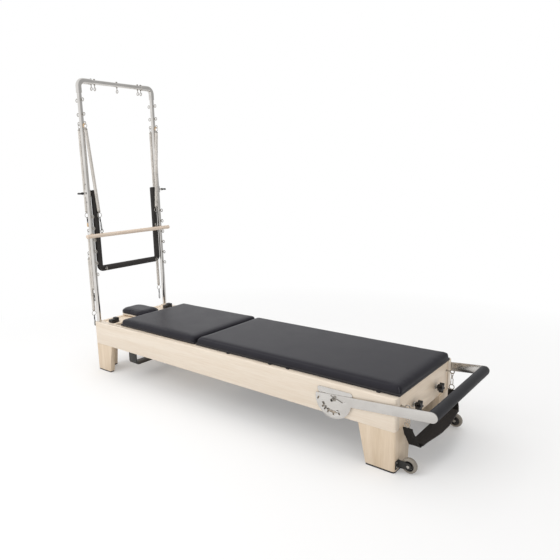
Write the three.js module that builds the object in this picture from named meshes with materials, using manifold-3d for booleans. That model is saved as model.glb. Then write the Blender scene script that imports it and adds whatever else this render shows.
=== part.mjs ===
// Pilates reformer with a spring tower at its head end and a mat board over its well.
// Millimetres. x runs to the foot end, y to the far side, z up; the floor is z = 0.

import * as THREE from 'three';
import { mergeVertices } from 'three/addons/utils/BufferGeometryUtils.js';
import Module from 'manifold-3d';

const wasm = await Module();
wasm.setup();

// Common fits
const clearance = 0.3; // left between pieces that touch
const slideFit = 0.4; // left between a moving piece and what guides it
const overrun = 5; // how far a cutting tool runs past what it cuts
const weldDistance = 1e-4;

// Wooden frame
const frameLength = 2360;
const frameWidth = 690;
const frameCorner = 14;
const railTop = 368;
const railDepth = 163;
const railThickness = 44;
const railArris = 9;
const endBoardThickness = 34;
const endBoardSetback = 5;
const endBoardDrop = 3;
const headDeckDepth = 130;
const headDeckThickness = 18;
const headDeckDrop = 8;

const halfLength = frameLength / 2;
const halfWidth = frameWidth / 2;
const railBottom = railTop - railDepth;
const railInner = halfWidth - railThickness;
const boardHalfWidth = railInner - clearance;
const footBoardFace = halfLength - endBoardSetback;
const footBoardBack = footBoardFace - endBoardThickness;

// Legs and their rubber feet
const legThickness = 36;
const legSideTop = 188;
const legSideFoot = 148;
const legEndTop = 167;
const legEndFoot = 146;
const footHeight = 8;
const footInset = 1.5;
const legTop = railBottom - clearance;

// Aluminium tracks
const trackBase = 248;
const trackWidth = 40;
const trackHeight = 46;
const trackWall = 4;
const trackLip = 9;
const trackEndGap = 6;
const trackFloor = trackBase + trackWall;

// Storage cradle under the head end
const cradleFrom = 328; // from the head end
const cradleWidth = 82;
const cradleThickness = 7;
const cradleBend = 26;
const cradleHeight = 100;

// Rope cleats on the head deck
const cleatSetback = 105; // from the head end to the block
const cleatDepth = 40;
const cleatLength = 66;
const cleatMiddle = 262;
const cleatHeight = 27;
const cleatHorn = 36;
const cleatHornLength = 28;
const cleatRound = 5;

// Carriage
const overRail = 1.5; // from the rail top up to the boards
const panelThickness = 12;
const panelInset = 4;
const padHalfWidth = 312;
const carriageSetback = 268; // from the head end to the parked carriage
const carriageLength = 752;
const cheekThickness = 18;
const cheekMiddle = 246;
const cheekInset = 20;
const cheekBottom = 262;
const crossDepth = 42;
const crossWidth = 25;
const rollerRadius = 24;
const rollerWidth = 22;
const rollerInset = 60;
const axleRadius = 5;

const carriageHead = -halfLength + carriageSetback;
const carriageFoot = carriageHead + carriageLength;
const panelBottom = railTop + overRail;
const panelTop = panelBottom + panelThickness;
const panelHalfWidth = padHalfWidth - panelInset;
const rollerMiddle = railInner - trackWidth / 2;
const rollerHeight = trackFloor + clearance + rollerRadius;

// Upholstery
const padThickness = 30;
const padCrown = 3;
const padCorner = 30;
const padFootCorner = 48;
const padShoulder = 9;
const padDrawIn = 2.5;
const padBottomInset = 4;
const padSeamShare = 0.52; // height of the piping, as a share of the pad's thickness

// Mat board over the well
const matGap = 10; // from the carriage to the mat
const matOverhang = 6; // past the foot end
const battenWidth = 30;
const battenDepth = 32;
const battenInset = 11;
const battenShares = [0.16, 0.9];
const bufferRadius = 3;
const bufferShares = [0.21, 0.44, 0.53, 0.92];
const matHead = carriageFoot + matGap;
const matFoot = halfLength + matOverhang;

// Headrest
const headrestGap = 23; // from the carriage's pad to the headrest's
const headrestLength = 280;
const headrestHalfWidth = 105;
const headrestCorner = 64;
const headrestRound = 66;
const headrestBoardBottom = 369;
const headrestBoard = 10;
const headrestPad = 27;
const headrestCrown = 5;
const hingeRadius = 4;
const hingeSetback = 11; // from the carriage's pad to the hinge line
const hingeLift = 2.5; // hinge line above the headrest board's underside
const hingeLeaf = 3;
const hingeLeafLength = 28;
const hingeHalfWidth = 30;
const hingeCheek = 6;
const hingeArm = 40; // length of a cheek under the headrest
const headrestFoot = carriageHead - headrestGap;
const headrestHead = headrestFoot - headrestLength;
const hingeX = carriageHead - hingeSetback;

// Eyebolts and the links that hang in them
const eyeRing = 10.5;
const eyeWire = 2.5;
const eyeShank = 3.2;
const eyeHole = eyeRing - eyeWire;
const nutRadius = 7;
const nutHeight = 6;
const linkWire = 3.5;
const hookThickness = 5;

// Foot end: spring bar, knobs, strap
const springBarSetback = 92; // from the foot end to the bar
const springBarWidth = 20;
const springBarHeight = 30;
const springBarLugGap = 2;
const lugSize = 26;
const knobSpread = 137;
const knobHeight = 272;
const studRadius = 5;
const studInside = 44;
const knobStand = 18; // from the board's face to the knob
const knobThickness = 22;
const knobRadius = 25;
const knobLobeShare = 0.2;
const knobLobes = 5;
const knobHubRadius = 11;
const knobHubLength = 9;
const washerRadius = 13;
const washerThickness = 2.5;
const carriageSprings = 4;
const carriageSpringRadius = 11;
const carriageSpringLength = 430;
const carriageSpringGap = 100;

const strapEyeSpread = 280;
const strapEyeHeight = 316;
const strapEyeStand = 33;
const strapHookLength = 62;
const strapHookWidth = 17;
const strapRing = 17;
const strapBottom = 106;
const strapThickness = 4;
const strapWidth = 50;
const strapPadWidth = 82;
const strapPadShare = 0.8; // padded middle, as a share of the strap's lower run
const strapBend = 26;
const strapStand = 26; // from the leg's end face to the strap
const strapFootSpread = 210;
const strapRingHeight = strapEyeHeight - eyeHole + linkWire / 2 - strapHookLength - strapRing + linkWire;
const strapTop = strapRingHeight - strapRing - eyeWire - clearance;

// Footbar and its quadrants
const pivotSetback = 320; // from the foot end
const pivotZ = 290;
const armTilt = THREE.MathUtils.degToRad(5);
const armLength = 490;
const armDepth = 49;
const armThickness = 6;
const quadrantRadius = 100;
const pivotBoltRadius = 8;
const pivotHeadRadius = 15;
const pivotHeadThickness = 5;
const channelInner = 60;
const channelOuter = 70;
const channelStart = THREE.MathUtils.degToRad(198);
const channelEnd = THREE.MathUtils.degToRad(297);
const notchReach = 78;
const notchRadius = 4.3;
const notchAngles = [215, 227, 243, 267, 292.5].map(THREE.MathUtils.degToRad);
const gearPinRadius = 4;
const gearPinAngle = THREE.MathUtils.degToRad(297);
const parkSlotRadius = 3.3;
const parkSlotPoints = [[-8.6, 18.5], [51.5, -7.5], [66.2, -0.8]];
const tailSlotRadius = 4;
const tailSlotPoints = [[-88, -7], [-81, 3]];
const gearPlateThickness = 4;
const gearPlateLeft = 93; // from the pivot
const gearPlateRight = 103;
const gearPlateBottom = 62;
const gearPlateTop = 52;
const gearPlateCorner = 16;
const footbarTubeRadius = 15;
const footbarTubeWall = 2;
const footbarFoamRadius = 26;
const foamEdge = 3;
const foamEndGap = 2;

const pivotX = halfLength - pivotSetback;
const gearPlateFace = halfWidth + clearance + gearPlateThickness;
const armInner = gearPlateFace + slideFit;
const armOuter = armInner + armThickness;

// Transport wheels
const wheelRadius = 37.5;
const wheelWidth = 24;
const wheelHeight = 40;
const wheelStand = 50; // axle from the leg's end face
const wheelSpread = 294;
const wheelRimDepth = 11;
const wheelWeb = 8;
const wheelHubRadius = 12;
const wheelHubWidth = 26;
const wheelEdge = 4;
const bracketThickness = 3;
const bracketHeight = 42;
const bracketFlange = 30;
const axleNut = 4;
const axleNutRadius = 8;

// Tower
const towerTop = 2068; // axis of the top bar
const postRadius = 16;
const postWall = 2.5;
const postInset = 22; // from the head end
const postSideInset = 25; // from the rail's outer face
const postSink = 100; // depth of the post's bore in the rail
const elbowRadius = 20;
const elbowBend = 38;
const elbowLeg = 80;
const elbowReach = 100;

const postX = -halfLength + postInset;
const postY = halfWidth - postSideInset;

// Eyebolts of the tower
const eyeStand = 37; // from the post's axis to the eye's centre
const upperEyes = [1940, 1845, 1785];
const lowerEyeTop = 1142;
const lowerEyeStep = 83.5;
const lowerEyes = 6;
const headEyeRow = 1; // row with an eye on the head side too
const headEyeDrop = 18; // head-side eyes below the foot-side ones of their row
const legEyeStand = 60; // the longer eyebolts that the leg springs hang from
const topEyeSpreads = [-218, -190, 0, 190, 218];
const topEyeDrop = 46;

const lowerEyeHeight = (row) => lowerEyeTop - row * lowerEyeStep;
const legEyeHeight = (sideName) => lowerEyeHeight(legSpringRows[sideName]) - headEyeDrop;

// Push-through bar
const collarHeight = 1307;
const collarLength = 50;
const collarRadius = 21;
const pinHoleStep = 62;
const pinHoleRadius = 4.4;
const pinRadius = 4;
const pinBossRadius = 9;
const pinBossLength = 16;
const pinStandOff = 0.5; // from the pin's tip to the post
const pinNeck = 30;
const pinHandleRadius = 6;
const pinHandleLength = 46;
const barSpread = 272;
const barBottom = 757;
const barBend = 34;
const barTubeRadius = 12.5;
const barTubeWall = 2;
const barFoamRadius = 19;
const barEnd = 18; // above the pivot
const barPivotRadius = 6;
const barEyeSpread = 240;
const barEyeStand = 33;

// Roll-down bar
const dowelHeight = 1004;
const dowelRadius = 14.5;
const dowelHalfLength = 385;
const dowelRound = 4;
const dowelEyeSpread = 255;
const dowelEyeStand = 5;
const dowelEyeHeight = dowelHeight + dowelRadius + dowelEyeStand + eyeRing;

// Tower springs
const coilRadius = 10.4;
const coilWire = 1.6;
const coilCurls = 8;
const coilSteps = 6;
const coilFaces = 4;
const plugRadius = 12;
const plugTip = 4;
const plugLength = 16;
const linkWidth = 16;
const linkLength = 30;
const linkSeatGap = 1.1;
const springRing = 17;
const springRingSteps = 10;
const springRingWire = 1.9;
const hookWidth = 15;
const hookBite = 1; // how far the hook's wire laps the ring's
const armSpringCoil = 560;
const legSpringCoil = 378;
const rollDownHook = 100;
const armSpringHook = 72;
const legSpringHook = 85;
const legSpringRows = { near: 3, far: 2 };

// Helpers

const sides = [['near', -1], ['far', 1]];
const ends = [['head', -1], ['foot', 1]];
const tubeFaces = 16; // posts, collars and what fits round them
const wheelFaces = 16;
const roundFaces = 12;
const smallFaces = 8;
const shankFaces = 4;
const nutFaces = 6;
const slotSegments = 3;
const channelSegments = 9;
const plateSegments = 11;

function solid(geometry) {
  const bare = geometry.clone();
  bare.deleteAttribute('normal');
  bare.deleteAttribute('uv');
  const welded = mergeVertices(bare, weldDistance);
  return new wasm.Manifold(new wasm.Mesh({
    numProp: 3,
    vertProperties: Float32Array.from(welded.attributes.position.array),
    triVerts: Uint32Array.from(welded.index.array),
  }));
}

const join = (first, ...rest) => rest.reduce((whole, next) => whole.add(next), first);
const cut = (first, ...tools) => tools.reduce((whole, tool) => whole.subtract(tool), first);

function geometryOf(body) {
  const mesh = body.getMesh();
  const geometry = new THREE.BufferGeometry();
  geometry.setAttribute('position', new THREE.BufferAttribute(mesh.vertProperties, 3));
  geometry.setIndex(new THREE.BufferAttribute(mesh.triVerts, 1));
  geometry.computeVertexNormals();
  return geometry;
}

function box(xFrom, xTo, yFrom, yTo, zFrom, zTo) {
  const geometry = new THREE.BoxGeometry(xTo - xFrom, yTo - yFrom, zTo - zFrom);
  geometry.translate((xFrom + xTo) / 2, (yFrom + yTo) / 2, (zFrom + zTo) / 2);
  return solid(geometry);
}

// A round bar along an axis, between two places on it, at (a, b) on the other two axes.
function rod(axis, radius, from, to, a, b, faces = roundFaces) {
  const low = Math.min(from, to);
  const high = Math.max(from, to);
  const geometry = new THREE.CylinderGeometry(radius, radius, high - low, faces);
  const middle = (low + high) / 2;
  if (axis === 'x') geometry.rotateZ(-Math.PI / 2).translate(middle, a, b);
  if (axis === 'y') geometry.translate(a, middle, b);
  if (axis === 'z') geometry.rotateX(Math.PI / 2).translate(a, b, middle);
  return solid(geometry);
}

function ring(axis, radius, wire, x, y, z, steps = 8, faces = 3) {
  const geometry = new THREE.TorusGeometry(radius, wire, faces, steps);
  if (axis === 'x') geometry.rotateY(Math.PI / 2);
  if (axis === 'y') geometry.rotateX(Math.PI / 2);
  return solid(geometry.translate(x, y, z));
}

// An outline through the points, each corner rounded by its own radius.
function rounded(points, radii = []) {
  const corner = points.map(([a, b]) => new THREE.Vector2(a, b));
  const shape = new THREE.Shape();
  corner.forEach((here, i) => {
    const before = corner[(i + corner.length - 1) % corner.length];
    const after = corner[(i + 1) % corner.length];
    const radius = radii[i] ?? 0;
    const start = here.clone().add(before.clone().sub(here).setLength(radius));
    const end = here.clone().add(after.clone().sub(here).setLength(radius));
    if (i === 0) shape.moveTo(start.x, start.y);
    else shape.lineTo(start.x, start.y);
    if (radius > 0) shape.quadraticCurveTo(here.x, here.y, end.x, end.y);
  });
  return shape;
}

const outlineFrames = {
  xy: new THREE.Matrix4(),
  xz: new THREE.Matrix4().makeBasis(
    new THREE.Vector3(1, 0, 0), new THREE.Vector3(0, 0, 1), new THREE.Vector3(0, -1, 0)),
  yz: new THREE.Matrix4().makeBasis(
    new THREE.Vector3(0, 1, 0), new THREE.Vector3(0, 0, 1), new THREE.Vector3(1, 0, 0)),
};

// The outline, drawn in a plane, run along the third axis from one place to another.
function prism(shape, plane, from, to, curveSegments = 4) {
  const low = Math.min(from, to);
  const high = Math.max(from, to);
  const geometry = new THREE.ExtrudeGeometry(shape, {
    depth: high - low, bevelEnabled: false, curveSegments,
  });
  geometry.applyMatrix4(outlineFrames[plane]);
  if (plane === 'xy') geometry.translate(0, 0, low);
  if (plane === 'xz') geometry.translate(0, high, 0);
  if (plane === 'yz') geometry.translate(low, 0, 0);
  return solid(geometry);
}

// A slot outline with round ends between two points.
function slot([ax, ay], [bx, by], radius) {
  const angle = Math.atan2(by - ay, bx - ax);
  const shape = new THREE.Shape();
  shape.absarc(bx, by, radius, angle - Math.PI / 2, angle + Math.PI / 2, false);
  shape.absarc(ax, ay, radius, angle + Math.PI / 2, angle + Math.PI * 3 / 2, false);
  return shape;
}

// A curve through given points that keeps them as its own steps.
class Route extends THREE.Curve {
  constructor(points) {
    super();
    this.points = points;
  }

  getUtoTmapping(u) {
    return u;
  }

  getPoint(t, target = new THREE.Vector3()) {
    const reach = t * (this.points.length - 1);
    const i = Math.min(Math.floor(reach), this.points.length - 2);
    return target.lerpVectors(this.points[i], this.points[i + 1], reach - i);
  }

  getTangent(t, target = new THREE.Vector3()) {
    const last = this.points.length - 1;
    const i = Math.round(t * last);
    const here = this.points[i];
    const back = new THREE.Vector3().subVectors(here, this.points[Math.max(i - 1, 0)]);
    const ahead = new THREE.Vector3().subVectors(this.points[Math.min(i + 1, last)], here);
    return target.copy(back.normalize()).add(ahead.normalize()).normalize();
  }
}

function circle(radius, faces) {
  const corners = [];
  for (let i = 0; i < faces; i += 1) {
    const angle = i / faces * Math.PI * 2;
    corners.push(new THREE.Vector2(Math.cos(angle), Math.sin(angle)).multiplyScalar(radius));
  }
  return corners;
}

// A round tube or bar swept along points.
function sweep(points, radius, faces, bore = 0) {
  const section = new THREE.Shape(circle(radius, faces));
  if (bore > 0) section.holes.push(new THREE.Path(circle(bore, faces)));
  return solid(new THREE.ExtrudeGeometry(section, {
    steps: points.length - 1, bevelEnabled: false, extrudePath: new Route(points),
  }));
}

// Points of a run in the yz plane at one x, with its corners bent to a radius.
function bentRun(x, corners, bend, steps = 4) {
  const points = [];
  corners.forEach(([y, z], i) => {
    const here = new THREE.Vector3(x, y, z);
    if (i === 0 || i === corners.length - 1) {
      points.push(here);
      return;
    }
    const from = new THREE.Vector3(x, ...corners[i - 1]).sub(here).normalize();
    const to = new THREE.Vector3(x, ...corners[i + 1]).sub(here).normalize();
    const centre = here.clone().addScaledVector(from, bend).addScaledVector(to, bend);
    for (let k = 0; k <= steps; k += 1) {
      const angle = k / steps * Math.PI / 2;
      points.push(centre.clone()
        .addScaledVector(to, -bend * Math.cos(angle))
        .addScaledVector(from, -bend * Math.sin(angle)));
    }
  });
  return points;
}

// A closed body through rings of points, from the lowest to the highest.
function loft(rings) {
  const count = rings[0].length;
  const middle = (points) => points
    .reduce((sum, point) => sum.add(point), new THREE.Vector3()).divideScalar(count);
  const all = [...rings.flat(), middle(rings[0]), middle(rings.at(-1))];
  const index = [];
  rings.slice(1).forEach((upper, row) => {
    for (let i = 0; i < count; i += 1) {
      const a = row * count + i;
      const b = row * count + (i + 1) % count;
      index.push(a, b, a + count, b, b + count, a + count);
    }
  });
  const topRow = (rings.length - 1) * count;
  for (let i = 0; i < count; i += 1) {
    const next = (i + 1) % count;
    index.push(next, i, all.length - 2, topRow + i, topRow + next, all.length - 1);
  }
  const geometry = new THREE.BufferGeometry().setFromPoints(all);
  geometry.setIndex(index);
  geometry.computeVertexNormals();
  return geometry;
}

const finishes = {
  maple: { color: 0xe6d9c6, roughness: 0.5, metalness: 0 },
  steel: { color: 0xd6d4d0, roughness: 0.25, metalness: 1 },
  aluminium: { color: 0xb9bcc0, roughness: 0.4, metalness: 1 },
  vinyl: { color: 0x3b3b3f, roughness: 0.55, metalness: 0 },
  foam: { color: 0x3c3c41, roughness: 0.8, metalness: 0 },
  rubber: { color: 0x26262a, roughness: 0.85, metalness: 0 },
  blackSteel: { color: 0x33322f, roughness: 0.45, metalness: 0.6 },
  nylon: { color: 0x232120, roughness: 0.5, metalness: 0 },
  webbing: { color: 0x2d2a28, roughness: 0.9, metalness: 0 },
  urethane: { color: 0x968f84, roughness: 0.3, metalness: 0 },
};

const model = new THREE.Group();

function piece(name, shape, finish, parent = model) {
  const geometry = shape.isBufferGeometry ? shape : geometryOf(shape);
  const mesh = new THREE.Mesh(geometry, new THREE.MeshStandardMaterial(finishes[finish]));
  mesh.name = name;
  parent.add(mesh);
  return mesh;
}

// Wooden frame

const framePlan = prism(
  rounded(
    [[-halfLength, -halfWidth], [halfLength, -halfWidth], [halfLength, halfWidth], [-halfLength, halfWidth]],
    [frameCorner, frameCorner, frameCorner, frameCorner],
  ),
  'xy', -overrun, railTop + overrun,
);

function sideRail(side) {
  const section = rounded(
    [
      [side * railInner, railBottom], [side * railInner, railTop],
      [side * halfWidth, railTop], [side * halfWidth, railBottom],
    ],
    [0, 0, railArris, 0],
  );
  const bar = prism(section, 'yz', -halfLength, halfLength).intersect(framePlan);
  const postBore = rod('z', postRadius + clearance, railTop - postSink, railTop + overrun, postX,
    side * postY, tubeFaces);
  return cut(bar, postBore);
}

function endBoard(xFrom, xTo) {
  return box(xFrom, xTo, -boardHalfWidth, boardHalfWidth, railBottom, railTop - endBoardDrop);
}

function footBoard() {
  const holes = sides.flatMap(([, side]) => [
    rod('x', studRadius + slideFit, footBoardBack - overrun, footBoardFace + overrun,
      side * knobSpread, knobHeight),
    rod('x', eyeShank + clearance, footBoardFace - endBoardThickness / 2, footBoardFace + overrun,
      side * strapEyeSpread, strapEyeHeight, shankFaces),
  ]);
  return cut(endBoard(footBoardBack, footBoardFace), ...holes);
}

function leg(end, side) {
  const x = (d) => end * (halfLength - d);
  const y = (w) => side * (halfWidth - w);
  const sideBoard = rounded([
    [x(0), legTop], [x(legSideTop), legTop], [x(legSideFoot), footHeight], [x(0), footHeight],
  ]);
  const endFace = rounded([
    [y(0), legTop], [y(legEndTop), legTop], [y(legEndFoot), footHeight], [y(0), footHeight],
  ]);
  return join(
    prism(sideBoard, 'xz', y(0), y(legThickness)),
    prism(endFace, 'yz', x(0), x(legThickness)),
  ).intersect(framePlan);
}

function rubberFoot(end, side) {
  const corner = ([d, w]) => [end * (halfLength - d), side * (halfWidth - w)];
  const plan = [
    [footInset, footInset],
    [legSideFoot - footInset, footInset],
    [legSideFoot - footInset, legThickness - footInset],
    [legThickness - footInset, legThickness - footInset],
    [legThickness - footInset, legEndFoot - footInset],
    [footInset, legEndFoot - footInset],
  ].map(corner);
  return prism(rounded(plan, [frameCorner]), 'xy', 0, footHeight - clearance);
}

function track(side) {
  const at = (inward, height) => [side * (boardHalfWidth - inward), trackBase + height];
  const section = rounded([
    at(0, 0), at(trackWidth, 0), at(trackWidth, trackLip), at(trackWidth - trackWall, trackLip),
    at(trackWidth - trackWall, trackWall), at(trackWall, trackWall), at(trackWall, trackHeight),
    at(0, trackHeight),
  ]);
  const from = -halfLength + endBoardSetback + endBoardThickness + trackEndGap;
  return prism(section, 'yz', from, footBoardBack - trackEndGap);
}

function storageCradle() {
  const outer = boardHalfWidth;
  const inner = outer - cradleThickness;
  const top = trackBase - clearance;
  const floor = cradleHeight + cradleThickness;
  const innerBend = cradleBend - cradleThickness;
  const band = rounded(
    [
      [-outer, top], [-outer, cradleHeight], [outer, cradleHeight], [outer, top],
      [inner, top], [inner, floor], [-inner, floor], [-inner, top],
    ],
    [0, cradleBend, cradleBend, 0, 0, innerBend, innerBend, 0],
  );
  const from = -halfLength + cradleFrom;
  return prism(band, 'yz', from, from + cradleWidth);
}

const deckTop = railTop - headDeckDrop;

// The head board and the deck that is glued to its inner face.
function headBoard() {
  const face = -halfLength + endBoardSetback;
  const back = face + endBoardThickness;
  const deck = box(
    back - endBoardThickness / 2, back + headDeckDepth, -boardHalfWidth, boardHalfWidth,
    deckTop - headDeckThickness, deckTop,
  );
  return join(endBoard(face, back), deck);
}

function cleat(side) {
  const yFrom = side * cleatMiddle - cleatLength / 2;
  const yTo = yFrom + cleatLength;
  const base = deckTop + clearance;
  const block = rounded(
    [
      [yFrom, base], [yTo, base], [yTo, base + cleatHorn], [yTo - cleatHornLength, base + cleatHorn],
      [yTo - cleatHornLength, base + cleatHeight], [yFrom, base + cleatHeight],
    ],
    [0, 0, cleatRound, cleatRound, 0, cleatRound],
  );
  const from = -halfLength + cleatSetback;
  return prism(block, 'yz', from, from + cleatDepth);
}

for (const [sideName, side] of sides) piece(`side_rail_${sideName}`, sideRail(side), 'maple');
piece('head_board', headBoard(), 'maple');
piece('foot_board', footBoard(), 'maple');
for (const [endName, end] of ends) {
  for (const [sideName, side] of sides) {
    piece(`leg_${endName}_${sideName}`, leg(end, side), 'maple');
    piece(`rubber_foot_${endName}_${sideName}`, rubberFoot(end, side), 'rubber');
  }
}
for (const [sideName, side] of sides) {
  piece(`track_${sideName}`, track(side), 'aluminium');
  piece(`rope_cleat_${sideName}`, cleat(side), 'nylon');
}
piece('storage_cradle', storageCradle(), 'blackSteel');

// Upholstered pads

// Rounded rectangle of points, counter-clockwise, whose long sides pull in at their middles.
function padRing(xFrom, xTo, halfY, radii, inset, z) {
  const cornerSteps = 4;
  const sideSteps = 3;
  const corners = [
    [xTo, halfY, radii.foot, 0], [xFrom, halfY, radii.head, 1],
    [xFrom, -halfY, radii.head, 2], [xTo, -halfY, radii.foot, 3],
  ];
  const points = [];
  corners.forEach(([cx, cy, radius, quarter], i) => {
    const turn = quarter * Math.PI / 2;
    const centre = new THREE.Vector2(cx - Math.sign(cx - (xFrom + xTo) / 2) * radius, cy - Math.sign(cy) * radius);
    for (let k = 0; k <= cornerSteps; k += 1) {
      const angle = turn + k / cornerSteps * Math.PI / 2;
      points.push(new THREE.Vector2(Math.cos(angle), Math.sin(angle)).multiplyScalar(radius - inset).add(centre));
    }
    const [nx, ny, nextRadius, nextQuarter] = corners[(i + 1) % corners.length];
    const nextTurn = nextQuarter * Math.PI / 2;
    const nextCentre = new THREE.Vector2(
      nx - Math.sign(nx - (xFrom + xTo) / 2) * nextRadius, ny - Math.sign(ny) * nextRadius);
    const start = points.at(-1).clone();
    const finish = new THREE.Vector2(Math.cos(nextTurn), Math.sin(nextTurn))
      .multiplyScalar(nextRadius - inset).add(nextCentre);
    const inward = new THREE.Vector2(-Math.cos(nextTurn), -Math.sin(nextTurn));
    for (let k = 1; k < sideSteps; k += 1) {
      const share = k / sideSteps;
      points.push(start.clone().lerp(finish, share)
        .addScaledVector(inward, padDrawIn * Math.sin(share * Math.PI)));
    }
  });
  return points.map((point) => new THREE.Vector3(point.x, point.y, z));
}

// Closed pad: flat base, side with a seam, rounded shoulder and a low crown.
function pad(xFrom, xTo, halfY, radii, base, thickness, crown = padCrown) {
  const seam = base + thickness * padSeamShare;
  const top = base + thickness;
  const rows = [
    [padBottomInset, base],
    [0, base + padBottomInset],
    [padDrawIn / 2, seam],
    [0, seam + padBottomInset],
    [padShoulder / 3, top - padShoulder / 2],
    [padShoulder * 1.4, top],
    [padShoulder * 2.5, top + crown],
  ];
  return loft(rows.map(([inset, z]) => padRing(xFrom, xTo, halfY, radii, inset, z)));
}

// Carriage

function carriageFrame() {
  const xFrom = carriageHead + panelInset;
  const xTo = carriageFoot - panelInset;
  const panel = box(xFrom, xTo, -panelHalfWidth, panelHalfWidth, panelBottom, panelTop);
  const under = sides.flatMap(([, side]) => {
    const inner = side * (cheekMiddle - cheekThickness / 2);
    const outer = side * (cheekMiddle + cheekThickness / 2);
    const cheek = box(
      xFrom + cheekInset, xTo - cheekInset, Math.min(inner, outer), Math.max(inner, outer),
      cheekBottom, panelTop - panelThickness / 2,
    );
    const axles = rollerPlaces.map((x) => rod(
      'y', axleRadius, side * cheekMiddle, side * (rollerMiddle + rollerWidth / 2), x, rollerHeight));
    return [cheek, ...axles];
  });
  const crosses = [xFrom + cheekInset, xTo - cheekInset - crossWidth].map((x) => box(
    x, x + crossWidth, -cheekMiddle, cheekMiddle, panelBottom - crossDepth, panelTop - panelThickness / 2));
  return join(panel, ...under, ...crosses);
}

const rollerPlaces = [
  carriageHead + panelInset + cheekInset + rollerInset,
  carriageFoot - panelInset - cheekInset - rollerInset,
];

function roller() {
  return cut(
    rod('y', rollerRadius, -rollerWidth / 2, rollerWidth / 2, 0, 0, wheelFaces),
    rod('y', axleRadius + slideFit, -rollerWidth, rollerWidth, 0, 0),
  );
}

piece('carriage_frame', carriageFrame(), 'maple');
piece(
  'carriage_pad',
  pad(carriageHead, carriageFoot, padHalfWidth, { head: padCorner, foot: padCorner }, panelTop + clearance, padThickness),
  'vinyl',
);
for (const [endName, x] of [['head', rollerPlaces[0]], ['foot', rollerPlaces[1]]]) {
  for (const [sideName, side] of sides) {
    piece(`carriage_roller_${endName}_${sideName}`, roller(), 'urethane')
      .position.set(x, side * rollerMiddle, rollerHeight);
  }
}

// Mat board over the well

function matBoard() {
  const xFrom = matHead + panelInset;
  const xTo = matFoot - panelInset;
  const run = xTo - xFrom;
  const panel = box(xFrom, xTo, -panelHalfWidth, panelHalfWidth, panelBottom, panelTop);
  const battens = battenShares.map((share) => {
    const x = xFrom + run * share;
    const reach = railInner - battenInset;
    return box(x, x + battenWidth, -reach, reach, panelBottom - battenDepth, panelTop - panelThickness / 2);
  });
  const buffers = bufferShares.flatMap((share) => sides.map(([, side]) => rod(
    'z', bufferRadius, railTop + clearance, panelTop - panelThickness / 2,
    xFrom + run * share, side * (railInner + bufferRadius), smallFaces)));
  return join(panel, ...battens, ...buffers);
}

piece('mat_board', matBoard(), 'vinyl');
piece(
  'mat_pad',
  pad(matHead, matFoot, padHalfWidth, { head: padCorner, foot: padFootCorner }, panelTop + clearance, padThickness),
  'vinyl',
);

// Headrest

const hingeZ = headrestBoardBottom + hingeLift;

const headrestRadii = { head: headrestRound, foot: headrestCorner };

function headrestPlate() {
  const plan = padRing(headrestHead + panelInset, headrestFoot - panelInset, headrestHalfWidth - panelInset,
    { head: headrestRound - panelInset, foot: headrestCorner - panelInset }, 0, 0);
  const outline = new THREE.Shape(plan.map((point) => new THREE.Vector2(point.x, point.y)));
  const plate = prism(outline, 'xy', headrestBoardBottom, headrestBoardBottom + headrestBoard);
  const cheeks = sides.map(([, side]) => {
    const inner = side * (hingeHalfWidth + slideFit);
    const outer = side * (hingeHalfWidth + slideFit + hingeCheek);
    const drop = rounded(
      [
        [hingeX + hingeRadius * 2, hingeZ - hingeRadius * 2],
        [hingeX + hingeRadius * 2, hingeZ + hingeRadius],
        [headrestFoot - hingeArm / 2, headrestBoardBottom + headrestBoard / 2],
        [headrestFoot - hingeArm, headrestBoardBottom],
        [hingeX - hingeRadius * 2, hingeZ - hingeRadius * 2],
      ],
      [hingeRadius, hingeRadius, 0, 0, hingeRadius],
    );
    return prism(drop, 'xz', inner, outer);
  });
  const pinHole = rod('y', hingeRadius + slideFit, -headrestHalfWidth, headrestHalfWidth, hingeX, hingeZ);
  return cut(join(plate, ...cheeks), pinHole);
}

function headrestHinge() {
  const reach = hingeHalfWidth + slideFit + hingeCheek + slideFit;
  const leaf = box(
    hingeX, hingeX + hingeLeafLength + hingeRadius, -hingeHalfWidth, hingeHalfWidth,
    panelBottom - clearance - hingeLeaf, panelBottom - clearance,
  );
  return join(rod('y', hingeRadius, -reach, reach, hingeX, hingeZ), leaf);
}

piece('headrest_plate', headrestPlate(), 'maple');
piece('headrest_hinge', headrestHinge(), 'steel');
piece(
  'headrest_pad',
  pad(headrestHead, headrestFoot, headrestHalfWidth, headrestRadii,
    headrestBoardBottom + headrestBoard + clearance, headrestPad, headrestCrown),
  'vinyl',
);

// Spring bar with the carriage springs parked on it

function springBar() {
  const x = halfLength - springBarSetback;
  const base = trackBase + trackLip + clearance;
  const reach = boardHalfWidth - trackWall - clearance;
  const bar = box(x - springBarWidth, x, -reach, reach, base, base + springBarHeight);
  const lugs = sides.map(([, side]) => box(
    x - springBarWidth / 2, footBoardBack - springBarLugGap,
    side * knobSpread - lugSize / 2, side * knobSpread + lugSize / 2,
    knobHeight - lugSize / 2, knobHeight + lugSize / 2));
  const springs = Array.from({ length: carriageSprings }, (_, i) => rod(
    'x', carriageSpringRadius, x - springBarWidth / 2 - carriageSpringLength, x - springBarWidth / 2,
    (i - (carriageSprings - 1) / 2) * carriageSpringGap, knobHeight, smallFaces));
  const studHoles = sides.map(([, side]) => rod(
    'x', studRadius + slideFit, footBoardBack - studInside - overrun, footBoardBack, side * knobSpread, knobHeight));
  return cut(join(bar, ...lugs, ...springs), ...studHoles);
}

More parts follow.
